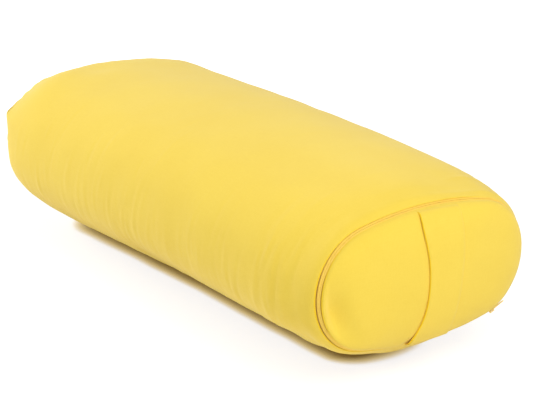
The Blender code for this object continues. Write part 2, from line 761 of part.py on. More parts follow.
def make_liner_zip(tape_cloth, coil_plastic, metal):
    middle = liner_zip_frame(0.0)
    half_tape = LINER_TAPE_LENGTH / 2
    half_chain = LINER_ZIP_LENGTH / 2 - STOP_LENGTH - 2 * TOUCHING_GAP
    reach = CHAIN_HALF_SPLIT + LINER_TAPE_WIDTH
    for half, side in (("lower", 1.0), ("upper", -1.0)):
        edges = sorted((side * CHAIN_HALF_SPLIT, side * reach))
        name = f"liner_zip_tape_{half}"
        mesh = box_mesh(name, (-half_tape, edges[0], -LINER_TAPE_THICKNESS),
                        (half_tape, edges[1], 0.0))
        tape = new_object(name, mesh, tape_cloth, PARTS)
        tape.matrix_world = middle
        name = f"liner_zip_coil_{half}"
        profile = coil_profile(side, TOUCHING_GAP, LINER_COIL_HEIGHT)
        sections = [[Vector((x, a, u)) for a, u in profile] for x in (-half_chain, half_chain)]
        coil = new_object(name, sweep_mesh(name, sections), coil_plastic, PARTS)
        coil.matrix_world = middle
    closed = liner_zip_frame(half_chain)
    opened = liner_zip_frame(-half_chain)
    near = CHAIN_HALF_SPLIT
    far = CHAIN_HALF_SPLIT + COIL_WIDTH
    back = -TOUCHING_GAP - STOP_LENGTH
    stop_block("liner_zip_top_stop_lower", closed, near, far, TOUCHING_GAP, metal)
    stop_block("liner_zip_top_stop_upper", closed, -far, -near, TOUCHING_GAP, metal)
    stop_block("liner_zip_bottom_stop", opened, -far, far, back, metal)
    ride = TOUCHING_GAP + LINER_COIL_HEIGHT + SLIDER_CLEARANCE
    slider = slider_object("liner_zip_slider", ride, LINER_TAPE_THICKNESS, 1, False, metal)
    slider.matrix_world = liner_zip_frame(half_chain - LINER_SLIDER_BACK)


# Handle band

def ring_inset(y, z):
    """Distance from a point in the ring's plane to the ring, inward."""
    across = abs(y)
    up = abs(z - RING_CENTRE_Z)
    big_radius = cap_radius(RING_HALF_WIDTH, RING_HALF_HEIGHT, RING_SIDE_RADIUS)
    side_centre = RING_HALF_WIDTH - RING_SIDE_RADIUS
    join = math.atan2(big_radius - RING_HALF_HEIGHT, side_centre)
    if math.atan2(up, across - side_centre) < join:
        return RING_SIDE_RADIUS - math.hypot(across - side_centre, up)
    return big_radius - math.hypot(across, up + big_radius - RING_HALF_HEIGHT)


def rim_distance(y, z):
    """How far the panel's rim lies from its middle, in the direction of a point."""
    radius = RING_SIDE_RADIUS - CONE_RISE
    half_width = RING_HALF_WIDTH - CONE_RISE
    half_height = RING_HALF_HEIGHT - CONE_RISE
    angle = math.atan2(abs(z - RING_CENTRE_Z), abs(y))
    big_radius = cap_radius(half_width, half_height, radius)
    offset = half_width - radius
    join = math.atan2(big_radius - half_height, offset)
    corner = math.atan2(radius * math.sin(join), offset + radius * math.cos(join))
    if angle < corner:
        reach = math.sqrt(radius ** 2 - (offset * math.sin(angle)) ** 2)
        return offset * math.cos(angle) + reach
    drop = half_height - big_radius
    reach = math.sqrt(big_radius ** 2 - (drop * math.cos(angle)) ** 2)
    return drop * math.sin(angle) + reach


def panel_x(y, z):
    """Front panel's outer surface over a point of the ring's plane."""
    inset = ring_inset(y, z)
    if inset <= CONE_RISE:
        return FRONT_RING_X + inset / math.tan(BAND_TILT)
    share = min(1.0, math.hypot(y, z - RING_CENTRE_Z) / rim_distance(y, z))
    return FRONT_RING_X + CONE_RUN + dome_height(share, PANEL_DOME - CONE_RUN)


def handle_surface(lift, side_inset):
    """Open surface of one handle layer, lifted off the panel."""
    rows = []
    for j in range(HANDLE_ALONG_STEPS + 1):
        share = math.sin(math.pi * (j / HANDLE_ALONG_STEPS - 0.5))
        middle = (HANDLE_BOTTOM_Y + HANDLE_TOP_Y + share * (HANDLE_TOP_Y - HANDLE_BOTTOM_Y)) / 2
        row = []
        for i in range(HANDLE_ACROSS_STEPS + 1):
            across = (2 * i / HANDLE_ACROSS_STEPS - 1) * (HANDLE_HALF_WIDTH - side_inset)
            y = middle + across
            edge = HANDLE_END_INSET * math.sin(BAND_TILT) + arc_drop(y)
            z = RING_CENTRE_Z + share * (RING_HALF_HEIGHT - edge)
            x = panel_x(y, z) + HANDLE_SLACK * (1.0 - share ** 2)
            row.append(Vector((x, y, z)) + lift * panel_normal(y, z))
        rows.append(row)
    return rows


def arc_drop(y):
    """How far the ring's long arc falls away from its middle."""
    big_radius = cap_radius(RING_HALF_WIDTH, RING_HALF_HEIGHT, RING_SIDE_RADIUS)
    return big_radius - math.sqrt(big_radius ** 2 - y ** 2)


def panel_normal(y, z):
    rise = panel_x(y + SLOPE_SAMPLE, z) - panel_x(y - SLOPE_SAMPLE, z)
    slope_y = rise / (2 * SLOPE_SAMPLE)
    low = max(z - SLOPE_SAMPLE, RING_CENTRE_Z - RING_HALF_HEIGHT + arc_drop(y))
    high = min(z + SLOPE_SAMPLE, RING_CENTRE_Z + RING_HALF_HEIGHT - arc_drop(y))
    slope_z = (panel_x(y, high) - panel_x(y, low)) / (high - low)
    return Vector((1.0, -slope_y, -slope_z)).normalized()


def make_handle_layer(name, lift, thickness, side_inset, cloth):
    mesh = bmesh.new()
    rows = [[mesh.verts.new(p) for p in row] for row in handle_surface(lift, side_inset)]
    for low, high in zip(rows, rows[1:]):
        for i in range(HANDLE_ACROSS_STEPS):
            mesh.faces.new((low[i], low[i + 1], high[i + 1], high[i]))
    data = bpy.data.meshes.new(name)
    mesh.to_mesh(data)
    mesh.free()
    smooth_mesh(data)
    layer = new_object(name, data, cloth, PARTS)
    wall = layer.modifiers.new("thickness", "SOLIDIFY")
    wall.thickness = thickness
    wall.offset = 1.0
    wall.use_even_offset = True


def make_handle(cloth, interlining):
    lift = HANDLE_REST_GAP
    make_handle_layer("handle_backing", lift, HANDLE_CLOTH, 0.0, cloth)
    lift += HANDLE_CLOTH + TOUCHING_GAP
    make_handle_layer("handle_interlining", lift, HANDLE_INTERLINING,
                      HANDLE_INTERLINING_INSET, interlining)
    lift += HANDLE_INTERLINING + TOUCHING_GAP
    make_handle_layer("handle_face", lift, HANDLE_CLOTH, 0.0, cloth)


clear_scene()
PARTS = new_collection("oval_yoga_bolster")
HELPERS = new_collection("cutters_and_axes")


def main():
    cover_cloth = new_material("yellow_cotton", (0.95, 0.72, 0.12), 0.9)
    liner_cloth = new_material("natural_cotton", (0.86, 0.82, 0.72), 0.92)
    fibre = new_material("fill_fibre", (0.93, 0.91, 0.86), 0.95)
    zip_tape = new_material("zip_tape", (0.93, 0.62, 0.16), 0.85)
    zip_coil = new_material("zip_coil", (0.93, 0.62, 0.16), 0.45)
    zip_metal = new_material("zip_metal", (0.75, 0.74, 0.72), 0.3, 1.0)
    lacquered_metal = new_material("lacquered_metal", (0.93, 0.66, 0.2), 0.4)
    handle_core = new_material("handle_interlining", (0.9, 0.9, 0.88), 0.9)
    skin = Skin()
    make_cover_tube(skin, cover_cloth)
    make_cover_front_panel(skin, cover_cloth)
    make_cover_rear_panel(skin, cover_cloth)
    make_liner_tube(skin, liner_cloth)
    make_liner_panels(skin, liner_cloth)
    make_fill(skin, fibre)
    make_cover_zip_halves(zip_tape, zip_coil)
    make_cover_zip_stops(zip_metal)
    make_cover_slider(lacquered_metal)
    make_liner_zip(zip_tape, zip_coil, zip_metal)
    make_handle(cover_cloth, handle_core)


main()
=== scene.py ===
"""Looks of the oval yoga bolster: cotton cover, coil zip, sliders, handle band, liner and floor.

Units are metres. X runs along the bolster towards the zip and the handle, Z is up.
"""

import math

import bmesh
import bpy
import numpy as np
from mathutils import Matrix, Vector


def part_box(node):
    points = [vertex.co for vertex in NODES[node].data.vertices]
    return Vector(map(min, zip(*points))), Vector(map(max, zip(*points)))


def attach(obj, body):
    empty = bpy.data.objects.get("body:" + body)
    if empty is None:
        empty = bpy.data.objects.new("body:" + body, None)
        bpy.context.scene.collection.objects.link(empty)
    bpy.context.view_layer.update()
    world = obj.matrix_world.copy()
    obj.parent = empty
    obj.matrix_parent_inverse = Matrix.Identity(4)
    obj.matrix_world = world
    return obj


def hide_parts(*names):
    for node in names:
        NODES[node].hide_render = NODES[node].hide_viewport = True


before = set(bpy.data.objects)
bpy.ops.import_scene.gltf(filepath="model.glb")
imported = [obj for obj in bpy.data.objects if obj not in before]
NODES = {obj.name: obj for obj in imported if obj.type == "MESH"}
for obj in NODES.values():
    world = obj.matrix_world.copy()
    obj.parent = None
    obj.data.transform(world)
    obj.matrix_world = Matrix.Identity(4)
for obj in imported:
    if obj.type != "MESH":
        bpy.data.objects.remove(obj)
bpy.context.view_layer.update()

# Sizes of the bolster, from its frame where the frame shows them
PANEL_DOME = 0.019
REAR_SEAM_RIDGE = 0.0015
TUBE_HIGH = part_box("cover_tube")[1]
REAR_LOW, REAR_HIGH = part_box("cover_rear_panel")
FRONT_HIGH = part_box("cover_front_panel")[1]
BODY_HALF_WIDTH = TUBE_HIGH.y
WIDEST_LINE_Z = 0.0945
CROWN_HEIGHT = TUBE_HIGH.z - WIDEST_LINE_Z
CROWN_SHOULDER_RADIUS = 0.088
BELLY_SHOULDER_RADIUS = 0.064
REST_FLAT_DEPTH = 0.0050
REST_FLAT_SOFTNESS = 0.0016
END_ROUND_LENGTH = 0.082
END_ROUND_POWER = 2.7
RING_HALF_WIDTH = REAR_HIGH.y - REAR_SEAM_RIDGE
RING_HALF_HEIGHT = (REAR_HIGH.z - REAR_LOW.z) / 2 - REAR_SEAM_RIDGE
RING_CENTRE_Z = (REAR_HIGH.z + REAR_LOW.z) / 2
RING_SIDE_RADIUS = 0.063
REAR_RING_X = REAR_LOW.x + PANEL_DOME
FRONT_RING_X = FRONT_HIGH.x - PANEL_DOME
RING_CENTRE = np.array((0.0, 0.0, RING_CENTRE_Z))
BAND_TILT = math.radians(38.0)
HEM_WIDTH = 0.0100
COVER_CLOTH = 0.0009
HEM = 2 * COVER_CLOTH
HEM_EDGE_RADIUS = 0.0006
TAPE_DEPTH = HEM + 0.0003
GIRTH = 0.76                    # round the body, for the scale of the weave

# How far the cloth edges stand from the middle of the zip, round the oval
CLOTH_EDGE_GAP = 0.0016
GROOVE_EDGE_GAP = 0.0026        # on the -Y side, where a groove shows along both coils
GROOVE_TURN = 0.515
GROOVE_REACH = 0.105
GROOVE_LIFT = 0.0007            # there the edges stand out over the coils
PAINTED_SHADE_LEAST = 0.15             # least share of the painted shade on the folded edges beside the zip
SEWN_EDGE_GAP = 0.0002          # at the ring's underside, where the panel is sewn on
# Where the edges part, from the lowest point of the ring: on the -Y and on the +Y side
SEWN_REACH_START = (0.036, 0.066)
SEWN_REACH_END = (0.060, 0.077)

# Fullness of the cloth beside the zip: its height at turns round the ring, which count from the
# +Y side over the top to the -Y side and back underneath
BODY_PUFF_TURNS = (0.00, 0.07, 0.13, 0.20, 0.30, 0.42, 0.50, 0.62, 0.75, 0.90)
BODY_PUFF = (0.0000, -0.0014, -0.0026, -0.0004, 0.0012, 0.0024, 0.0030, 0.0022, 0.0008, 0.0006)
BODY_PUFF_RISE = 0.0050
BODY_PUFF_FADE = 0.045
BODY_PUFF_EVENING = 150         # rounds of smoothing round the ring
PANEL_ROUNDNESS = 2.2
PANEL_FLATNESS = 2.3

# Fineness of the cloth meshes
COLUMNS = 192
ROW_STEP = 0.0024
ROLL_STEPS = 6
INNER_ROW_SKIP = 8
TURNS = np.arange(COLUMNS) / COLUMNS

# The photograph's camera
IMAGE_WIDTH = 540.0
CAMERA_AZIMUTH = math.radians(54.50)
CAMERA_ELEVATION = math.radians(19.595)
CAMERA_DISTANCE = 2.170
CAMERA_FOCAL_PIXELS = 2000.4
CAMERA_TARGET = Vector((0.0, 0.0, 0.080))
CAMERA_RIGHT = 0.0272
CAMERA_UP = 0.0087
CAMERA_CLIP = 0.05
SENSOR_WIDTH = 36.0

# Light and floor
SOFTBOXES = {"left_softbox": ((-1.7, -0.9, 1.1), (1.4, 1.2), 25.0),      # place, size, watts
             "front_softbox": ((1.4, 0.0, 1.5), (1.2, 1.0), 19.4)}
SOFTBOX_AIM = Vector((0.05, 0.0, 0.1))
WORLD_LIGHT = 0.44
WORLD_COLOUR = (1.0, 0.995, 0.985, 1.0)
WHITE = (1.0, 1.0, 1.0, 1.0)
FLOOR_HALF = 6.0
FLOOR_COLOUR = (0.95, 0.95, 0.95, 1.0)
FLOOR_COLOUR_SEEN = (0.34, 0.34, 0.29, 1.0)     # takes the shadows; the rest of it shines
FLOOR_WHITE_SEEN = (0.78, 0.79, 0.84)
# Painted contact shadow: colours that the floor's seen glow takes where the bolster hangs close
# over it
CONTACT_HALF_SEEN = (0.48, 0.36, 0.16)
CONTACT_DARK_SEEN = (0.09, 0.04, 0.0)
CONTACT_OPENNESS = (0.22, 0.50, 0.86)   # of the floor where it is dark, half dark and white
CONTACT_REACH = 0.016           # how near the bolster must hang over the floor to darken its painted contact shadow
CONTACT_SAMPLES = 16
RAISED_END_X = 0.225            # from here on towards the lifted front end the painted contact shadow fades out
RAISED_END_RUN = 0.10
FAR_FLOOR_START = 0.40          # from here outwards the seen floor turns into plain white
FAR_FLOOR_RUN = 0.50
FAR_FLOOR_GAIN = 0.5


# Objects and node trees

def in_scene(name, data):
    """New object at the origin, in the scene."""
    piece = bpy.data.objects.new(name, data)
    bpy.context.scene.collection.objects.link(piece)
    return piece


def wire_up(tree, node, inputs):
    """Give a node's inputs constants or the outputs of other nodes."""
    for socket, value in inputs.items():
        if isinstance(value, bpy.types.NodeSocket):
            tree.links.new(value, node.inputs[socket])
        else:
            node.inputs[socket].default_value = value


def new_node(tree, kind, inputs=None, **values):
    node = tree.nodes.new(kind)
    for key, value in values.items():
        setattr(node, key, value)
    wire_up(tree, node, inputs or {})
    return node


def maths(tree, operation, *values):
    node = new_node(tree, "ShaderNodeMath", dict(enumerate(values)), operation=operation)
    return node.outputs[0]


def weighted_sum(tree, *parts):
    """Sum of values, each times its own share."""
    total = 0.0
    for value, share in parts:
        total = maths(tree, "MULTIPLY_ADD", value, share, total)
    return total


def ramp_up(tree, value, start, run):
    """0 up to a start, then rising to 1 over a run."""
    node = new_node(tree, "ShaderNodeMapRange",
                    {"Value": value, "From Min": start, "From Max": start + run})
    return node.outputs["Result"]


def colour_between(tree, factor, dark, light, low, high):
    """Colour that goes from dark to light while the factor goes from low to high."""
    node = new_node(tree, "ShaderNodeValToRGB", {"Fac": factor})
    for element, place, colour in zip(node.color_ramp.elements, (low, high), (dark, light)):
        element.position = place
        element.color = (*colour, 1.0)
    return node.outputs["Color"]


def noise(tree, scale, detail, coordinates, roughness=0.5):
    node = new_node(tree, "ShaderNodeTexNoise", {"Scale": scale, "Detail": detail,
                                                 "Roughness": roughness, "Vector": coordinates})
    return node.outputs["Fac"]


# Camera, light and floor

def make_camera():
    cos_e = math.cos(CAMERA_ELEVATION)
    back = Vector((math.sin(CAMERA_AZIMUTH) * cos_e, -math.cos(CAMERA_AZIMUTH) * cos_e,
                   math.sin(CAMERA_ELEVATION)))
    right = Vector((math.cos(CAMERA_AZIMUTH), math.sin(CAMERA_AZIMUTH), 0.0))
    up = back.cross(right)
    data = bpy.data.cameras.new("camera")
    data.sensor_width = SENSOR_WIDTH
    data.lens = CAMERA_FOCAL_PIXELS / IMAGE_WIDTH * SENSOR_WIDTH
    data.clip_start = CAMERA_CLIP
    camera = in_scene("camera", data)
    camera.location = (CAMERA_TARGET + back * CAMERA_DISTANCE + right * CAMERA_RIGHT
                       + up * CAMERA_UP)
    camera.rotation_mode = "QUATERNION"
    camera.rotation_quaternion = Matrix((right, up, back)).transposed().to_quaternion()
    bpy.context.scene.camera = camera


def make_lights():
    for name, (place, size, watts) in SOFTBOXES.items():
        data = bpy.data.lights.new(name, "AREA")
        data.shape = "RECTANGLE"
        data.size, data.size_y = size
        data.energy = watts
        lamp = in_scene(name, data)
        lamp.location = place
        lamp.rotation_euler = (SOFTBOX_AIM - Vector(place)).to_track_quat("-Z", "Y").to_euler()


def cleared_tree(owner):
    owner.use_nodes = True
    owner.node_tree.nodes.clear()
    return owner.node_tree


def show_when_seen(tree, output_kind, unseen, seen):
    """Give one shader to the light on the bolster and the other to what the eye sees.

    Seen are rays from the camera, straight off gloss and through glass.
    """
    rays = new_node(tree, "ShaderNodeLightPath").outputs
    first_two = maths(tree, "MAXIMUM", rays["Is Camera Ray"], rays["Is Glossy Ray"])
    direct = maths(tree, "MAXIMUM", first_two, rays["Is Transmission Ray"])
    mix = new_node(tree, "ShaderNodeMixShader", {"Fac": direct, 1: unseen, 2: seen})
    new_node(tree, output_kind, {"Surface": mix.outputs[0]})


def make_world():
    world = bpy.data.worlds.new("studio")
    tree = cleared_tree(world)
    light = new_node(tree, "ShaderNodeBackground", {"Color": WORLD_COLOUR, "Strength": WORLD_LIGHT})
    white = new_node(tree, "ShaderNodeBackground", {"Color": WHITE, "Strength": 1.0})
    show_when_seen(tree, "ShaderNodeOutputWorld", light.outputs[0], white.outputs[0])
    bpy.context.scene.world = world


def make_floor():
    material = bpy.data.materials.new("white_floor")
    tree = cleared_tree(material)
    plain = new_node(tree, "ShaderNodeBsdfDiffuse", {"Color": FLOOR_COLOUR})
    shaded = new_node(tree, "ShaderNodeBsdfDiffuse", {"Color": FLOOR_COLOUR_SEEN})
    nearness = new_node(tree, "ShaderNodeAmbientOcclusion", {"Distance": CONTACT_REACH},
                        samples=CONTACT_SAMPLES)
    place = new_node(tree, "ShaderNodeTexCoord").outputs["Object"]
    along = new_node(tree, "ShaderNodeSeparateXYZ", {0: place}).outputs["X"]
    # Painted contact shadow: the seen glow darkens with occlusion near the bolster and fades out
    # towards the front end
    openness = maths(tree, "ADD", nearness.outputs["AO"],
                     ramp_up(tree, along, RAISED_END_X, RAISED_END_RUN))
    dark_at, half_at, white_at = CONTACT_OPENNESS
    contact = colour_between(tree, openness, CONTACT_DARK_SEEN, FLOOR_WHITE_SEEN, dark_at, white_at)
    contact.node.color_ramp.elements.new(half_at).color = (*CONTACT_HALF_SEEN, 1.0)
    distance = new_node(tree, "ShaderNodeVectorMath", {0: place}, operation="LENGTH")
    far = ramp_up(tree, distance.outputs["Value"], FAR_FLOOR_START, FAR_FLOOR_RUN)
    gain = maths(tree, "MULTIPLY_ADD", far, FAR_FLOOR_GAIN, 1.0)
    shining = new_node(tree, "ShaderNodeEmission", {"Color": contact, "Strength": gain})
    seen = new_node(tree, "ShaderNodeAddShader", {0: shaded.outputs[0], 1: shining.outputs[0]})
    show_when_seen(tree, "ShaderNodeOutputMaterial", plain.outputs[0], seen.outputs[0])
    mesh = bpy.data.meshes.new("floor")
    half = FLOOR_HALF
    mesh.from_pydata([(-half, -half, 0), (half, -half, 0), (half, half, 0), (-half, half, 0)],
                     [], [(0, 1, 2, 3)])
    mesh.materials.append(material)
    in_scene("floor", mesh)


# Outlines drawn with four arcs, as arrays over the turn round the bolster

def quarter_outline(half_width, half_height, side_radius, share):
    """Point and outward direction at a share of a quarter oval, from its side to its top."""
    offset = half_width - side_radius
    big_radius = ((offset ** 2 + half_height ** 2 - side_radius ** 2)
                  / (2 * (half_height - side_radius)))
    join = math.atan2(big_radius - half_height, offset)
    side_length = join * side_radius
    length = side_length + (math.pi / 2 - join) * big_radius
    travelled = share * length
    on_side = travelled <= side_length
    angle = np.where(on_side, travelled / side_radius,
                     join + (travelled - side_length) / big_radius)
    radius = np.where(on_side, side_radius, big_radius)
    across = np.where(on_side, offset, 0.0) + radius * np.cos(angle)
    up = np.where(on_side, 0.0, half_height - big_radius) + radius * np.sin(angle)
    return across, up, np.cos(angle), np.sin(angle)


def oval(half_width, top, bottom, top_radius, bottom_radius, turns):
    """Turns count from +Y over the top to -Y and back underneath, 0 to 1."""
    quarter = np.floor(4 * turns).astype(int) % 4
    share = 4 * turns - np.floor(4 * turns)
    share = np.where(quarter % 2 == 1, 1.0 - share, share)
    side = np.where((quarter == 0) | (quarter == 3), 1.0, -1.0)
    upper = quarter <= 1
    high = quarter_outline(half_width, top, top_radius, share)
    low = quarter_outline(half_width, bottom, bottom_radius, share)
    across, up, out_across, out_up = (np.where(upper, a, b) for a, b in zip(high, low))
    flip = np.where(upper, 1.0, -1.0)
    nothing = np.zeros_like(across)
    return (np.stack((nothing, side * across, flip * up), 1),
            np.stack((nothing, side * out_across, flip * out_up), 1))


def ring(turns=TURNS):
    points, out = oval(RING_HALF_WIDTH, RING_HALF_HEIGHT, RING_HALF_HEIGHT,
                       RING_SIDE_RADIUS, RING_SIDE_RADIUS, turns)
    return points + RING_CENTRE, out


def body(turns=TURNS):
    points, _ = oval(BODY_HALF_WIDTH, CROWN_HEIGHT, WIDEST_LINE_Z + REST_FLAT_DEPTH,
                     CROWN_SHOULDER_RADIUS, BELLY_SHOULDER_RADIUS, turns)
    height = points[:, 2] + WIDEST_LINE_Z
    points[:, 2] = (height + np.sqrt(height ** 2 + REST_FLAT_SOFTNESS ** 2)) / 2
    return points


def band(across, depth=0.0, turns=TURNS):
    """Points of the zip band: across is towards the panel, depth is into the bolster."""
    points, out = ring(turns)
    forward = np.array((1.0, 0.0, 0.0))
    towards_panel = -math.sin(BAND_TILT) * out + math.cos(BAND_TILT) * forward
    outward = math.cos(BAND_TILT) * out + math.sin(BAND_TILT) * forward
    across = np.broadcast_to(np.asarray(across, float), turns.shape)[:, None]
    depth = np.broadcast_to(np.asarray(depth, float), turns.shape)[:, None]
    return points + FRONT_RING_X * forward + across * towards_panel - depth * outward


def smooth_step(value, low, high):
    share = np.clip((value - low) / (high - low), 0.0, 1.0)
    return share * share * (3 - 2 * share)


def bell(away, reach):
    """Soft bump: 1 at no distance away, next to nothing past twice its reach."""
    return np.exp(-(away / reach) ** 2)


def turns_from(turn):
    """How far each column lies from a turn, the short way round."""
    return (TURNS - turn + 0.5) % 1.0 - 0.5


def groove(turns=TURNS):
    """How deep the grooves along the coils are, 0 to 1; they are deepest on the -Y side."""
    return bell(turns - GROOVE_TURN, GROOVE_REACH)


def painted_shade_weight():
    """How strong the painted shade is in the folded edges beside the zip, round the oval; strongest
    where the grooves are deepest.
    """
    return PAINTED_SHADE_LEAST + (1 - PAINTED_SHADE_LEAST) * groove()


def edge_gap(turns=TURNS):
    """Distance of each cloth edge from the zip's middle, wider at the side, sewn below."""
    gap = CLOTH_EDGE_GAP + (GROOVE_EDGE_GAP - CLOTH_EDGE_GAP) * groove(turns)
    points, out = ring(turns)
    side = (points[:, 1] > 0).astype(int)
    opened = smooth_step(np.abs(points[:, 1]), np.take(SEWN_REACH_START, side),
                         np.take(SEWN_REACH_END, side))
    opened = np.where(out[:, 2] < 0, opened, 1.0)
    return SEWN_EDGE_GAP + (gap - SEWN_EDGE_GAP) * opened


# Surfaces of the cover, as rows of points round the bolster

def with_x(points, x):
    placed = points.copy()
    placed[:, 0] = x
    return placed


def normals_of(rows, start_pole=None, end_pole=None):
    """Outward directions at the points of rows that run from the rear to the front."""
    round_way = np.roll(rows, -1, axis=1) - np.roll(rows, 1, axis=1)
    first = rows[:1] if start_pole is None else np.broadcast_to(start_pole, rows[:1].shape)
    last = rows[-1:] if end_pole is None else np.broadcast_to(end_pole, rows[-1:].shape)
    along_way = np.concatenate((rows[1:], last)) - np.concatenate((first, rows[:-1]))
    normal = np.cross(round_way, along_way)
    return normal / np.maximum(np.linalg.norm(normal, axis=2, keepdims=True), 1e-12)


HEM_RUN = HEM_WIDTH * math.cos(BAND_TILT)       # of the front hem, along the bolster
LIP_RADIUS = 0.0020             # roundness of the cloth at the rear seam
LIP_STEPS = 4
LIP_PLAY = 0.0001
# Rows close to the ends, by their distance from the rear seam and from the front hem
NEAR_REAR = (0.0022, 0.0040, 0.0065, 0.0095, 0.0130, 0.0170)
NEAR_FRONT = (0.0170, 0.0130, 0.0095, 0.0065, 0.0035, 0.0)
FRONT_HEM_SHARES = (0.72, 0.44, 0.2, 0.0)
PANEL_SHARES = (1.0, 0.997, 0.99, 0.98, 0.965, 0.945, 0.92, 0.89, 0.855, 0.815, 0.77, 0.72,
                0.665, 0.605, 0.54, 0.475, 0.41, 0.345, 0.28, 0.215, 0.15, 0.09, 0.04)
FRONT_POLE = np.array((FRONT_RING_X + PANEL_DOME, 0.0, RING_CENTRE_Z))
REAR_POLE = np.array((REAR_RING_X - PANEL_DOME, 0.0, RING_CENTRE_Z))


def tube_row(x):
    """The body at one place along it, from the rear seam to the end of the front hem."""
    outline = body()
    rear_share = (x - REAR_RING_X) / END_ROUND_LENGTH
    if rear_share < 1.0:
        rear = ring()[0]
        outline = outline + (rear - outline) * (1.0 - max(rear_share, 0.0)) ** END_ROUND_POWER
    front_share = (FRONT_RING_X - HEM_RUN - x) / (END_ROUND_LENGTH - HEM_RUN)
    if front_share < 1.0:
        hem_end = band(-HEM_WIDTH)
        outline = outline + (hem_end - outline) * (1.0 - max(front_share, 0.0)) ** END_ROUND_POWER
    return with_x(outline, x)


def tube_stations():
    """Places along the body, closer together near its ends."""
    near_rear = [REAR_RING_X + distance for distance in NEAR_REAR]
    near_front = [FRONT_RING_X - HEM_RUN - distance for distance in NEAR_FRONT]
    count = round((near_front[0] - near_rear[-1]) / ROW_STEP)
    middle = np.linspace(near_rear[-1], near_front[0], count + 1)[1:-1]
    return near_rear + list(middle) + near_front


def tube_rows():
    """Outer surface of the body up to where the hem starts to roll over."""
    rows = [tube_row(x) for x in tube_stations()]
    start = edge_gap() + HEM_EDGE_RADIUS
    for share in FRONT_HEM_SHARES:
        lift = GROOVE_LIFT * groove() * (1 - share)
        rows.append(band(-(start + (HEM_WIDTH - start) * share), -lift))
    return np.array(rows)


def dome_rise(share):
    """How far a panel has risen to its pole, at a share of the way out to its edge."""
    return (1.0 - share ** PANEL_FLATNESS) ** (1.0 / PANEL_ROUNDNESS)


def domed_rows(edge, edge_x, pole_x):
    """Rows over a panel's dome, from its edge to near its middle."""
    return np.array([with_x(RING_CENTRE + (edge - RING_CENTRE) * share,
                            edge_x + (pole_x - edge_x) * dome_rise(share))
                     for share in PANEL_SHARES])


def panel_rows():
    """Outer surface of the front panel from its rolled edge to near its middle."""
    edge = band(edge_gap() + HEM_EDGE_RADIUS, -GROOVE_LIFT * groove())
    return domed_rows(edge, edge[:, 0], FRONT_POLE[0])


def rear_rows():
    """Outer surface of the rear panel from near its middle to its seam."""
    return domed_rows(ring()[0], REAR_RING_X, REAR_POLE[0])[::-1]


def rolled_edge(edge_row, under_row, normal):
    """Half round from a cloth's outer edge row to the same place underneath."""
    forward = edge_row - under_row
    forward -= np.sum(forward * normal, 1, keepdims=True) * normal
    forward /= np.linalg.norm(forward, axis=1, keepdims=True)
    angles = [math.pi * step / ROLL_STEPS for step in range(1, ROLL_STEPS + 1)]
    return [edge_row + HEM_EDGE_RADIUS * (math.sin(angle) * forward
                                          - (1 - math.cos(angle)) * normal) for angle in angles]


# Meshes from rows of points

def shell_mesh(name, rows, closed=False, start_pole=None, end_pole=None, girth=None, caps=False):
    """Closed mesh through rows of points; its UV map is wrapped to a girth, or flat without one."""
    rows = np.array(rows)
    count, columns, _ = rows.shape
    verts = rows.reshape(-1, 3)
    along = np.zeros(count)
    along[1:] = np.cumsum(np.median(np.linalg.norm(np.diff(rows, axis=0), axis=2), axis=1))
    column = np.arange(columns)
    after = (column + 1) % columns
    faces, corners = [], []

    def uv(row, columns_at, index):
        if girth:
            return np.stack((columns_at / columns * girth, np.full(columns, along[row])), 1)
        return verts[index][:, 1:]

    pairs = [(r, r + 1) for r in range(count - 1)]
    if closed:
        pairs.append((count - 1, 0))
    for low, high in pairs:
        index = (low * columns + column, low * columns + after,
                 high * columns + after, high * columns + column)
        faces.append(np.stack(index, 1))
        corners.append(np.stack((uv(low, column, index[0]), uv(low, column + 1, index[1]),
                                 uv(high, column + 1, index[2]), uv(high, column, index[3])), 1))
    quads = np.concatenate(faces)
    corner_uv = [np.concatenate(corners).reshape(-1, 2)]
    polygons = quads.tolist()
    for pole, row, first in ((start_pole, 0, True), (end_pole, count - 1, False)):
        if pole is None:
            continue
        verts = np.concatenate((verts, np.array(pole)[None]))
        tip = np.full(columns, len(verts) - 1)
        near, far = row * columns + column, row * columns + after
        fan = np.stack((tip, far, near) if first else (near, far, tip), 1)
        polygons += fan.tolist()
        corner_uv.append(verts[fan.reshape(-1)][:, 1:])
    if caps:
        for cap in (column[::-1], (count - 1) * columns + column):
            polygons.append(cap.tolist())
            corner_uv.append(verts[cap][:, 1:])
    mesh = bpy.data.meshes.new(name)
    mesh.from_pydata(verts.tolist(), [], polygons)
    layer = mesh.uv_layers.new(name="cloth")
    layer.data.foreach_set("uv", np.concatenate(corner_uv).astype(np.float32).reshape(-1))
    mesh.shade_smooth()
    face_outwards(mesh)
    return mesh


def mark_painted_shade(mesh, depths):
    """Store at each point how much painted shade darkens the cloth's colour there, 0 to 1, where
    the cloth folds.
    """
    stored = np.zeros(len(mesh.vertices), np.float32)
    stored[:depths.size] = depths.reshape(-1)
    mesh.attributes.new("painted_shade", "FLOAT", "POINT").data.foreach_set("value", stored)


def face_outwards(mesh):
    work = bmesh.new()
    work.from_mesh(mesh)
    if work.calc_volume(signed=True) < 0:
        bmesh.ops.reverse_faces(work, faces=work.faces)
        work.to_mesh(mesh)
    work.free()


def add_piece(name, mesh, material, node):
    """Finished piece of the bolster itself, which stands for one node of the frame."""
    piece = in_scene(name, mesh)
    mesh.materials.clear()
    mesh.materials.append(material)
    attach(piece, "root")
    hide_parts(node)
    return piece


# The cover filled out by its stuffing, as simulated cloth

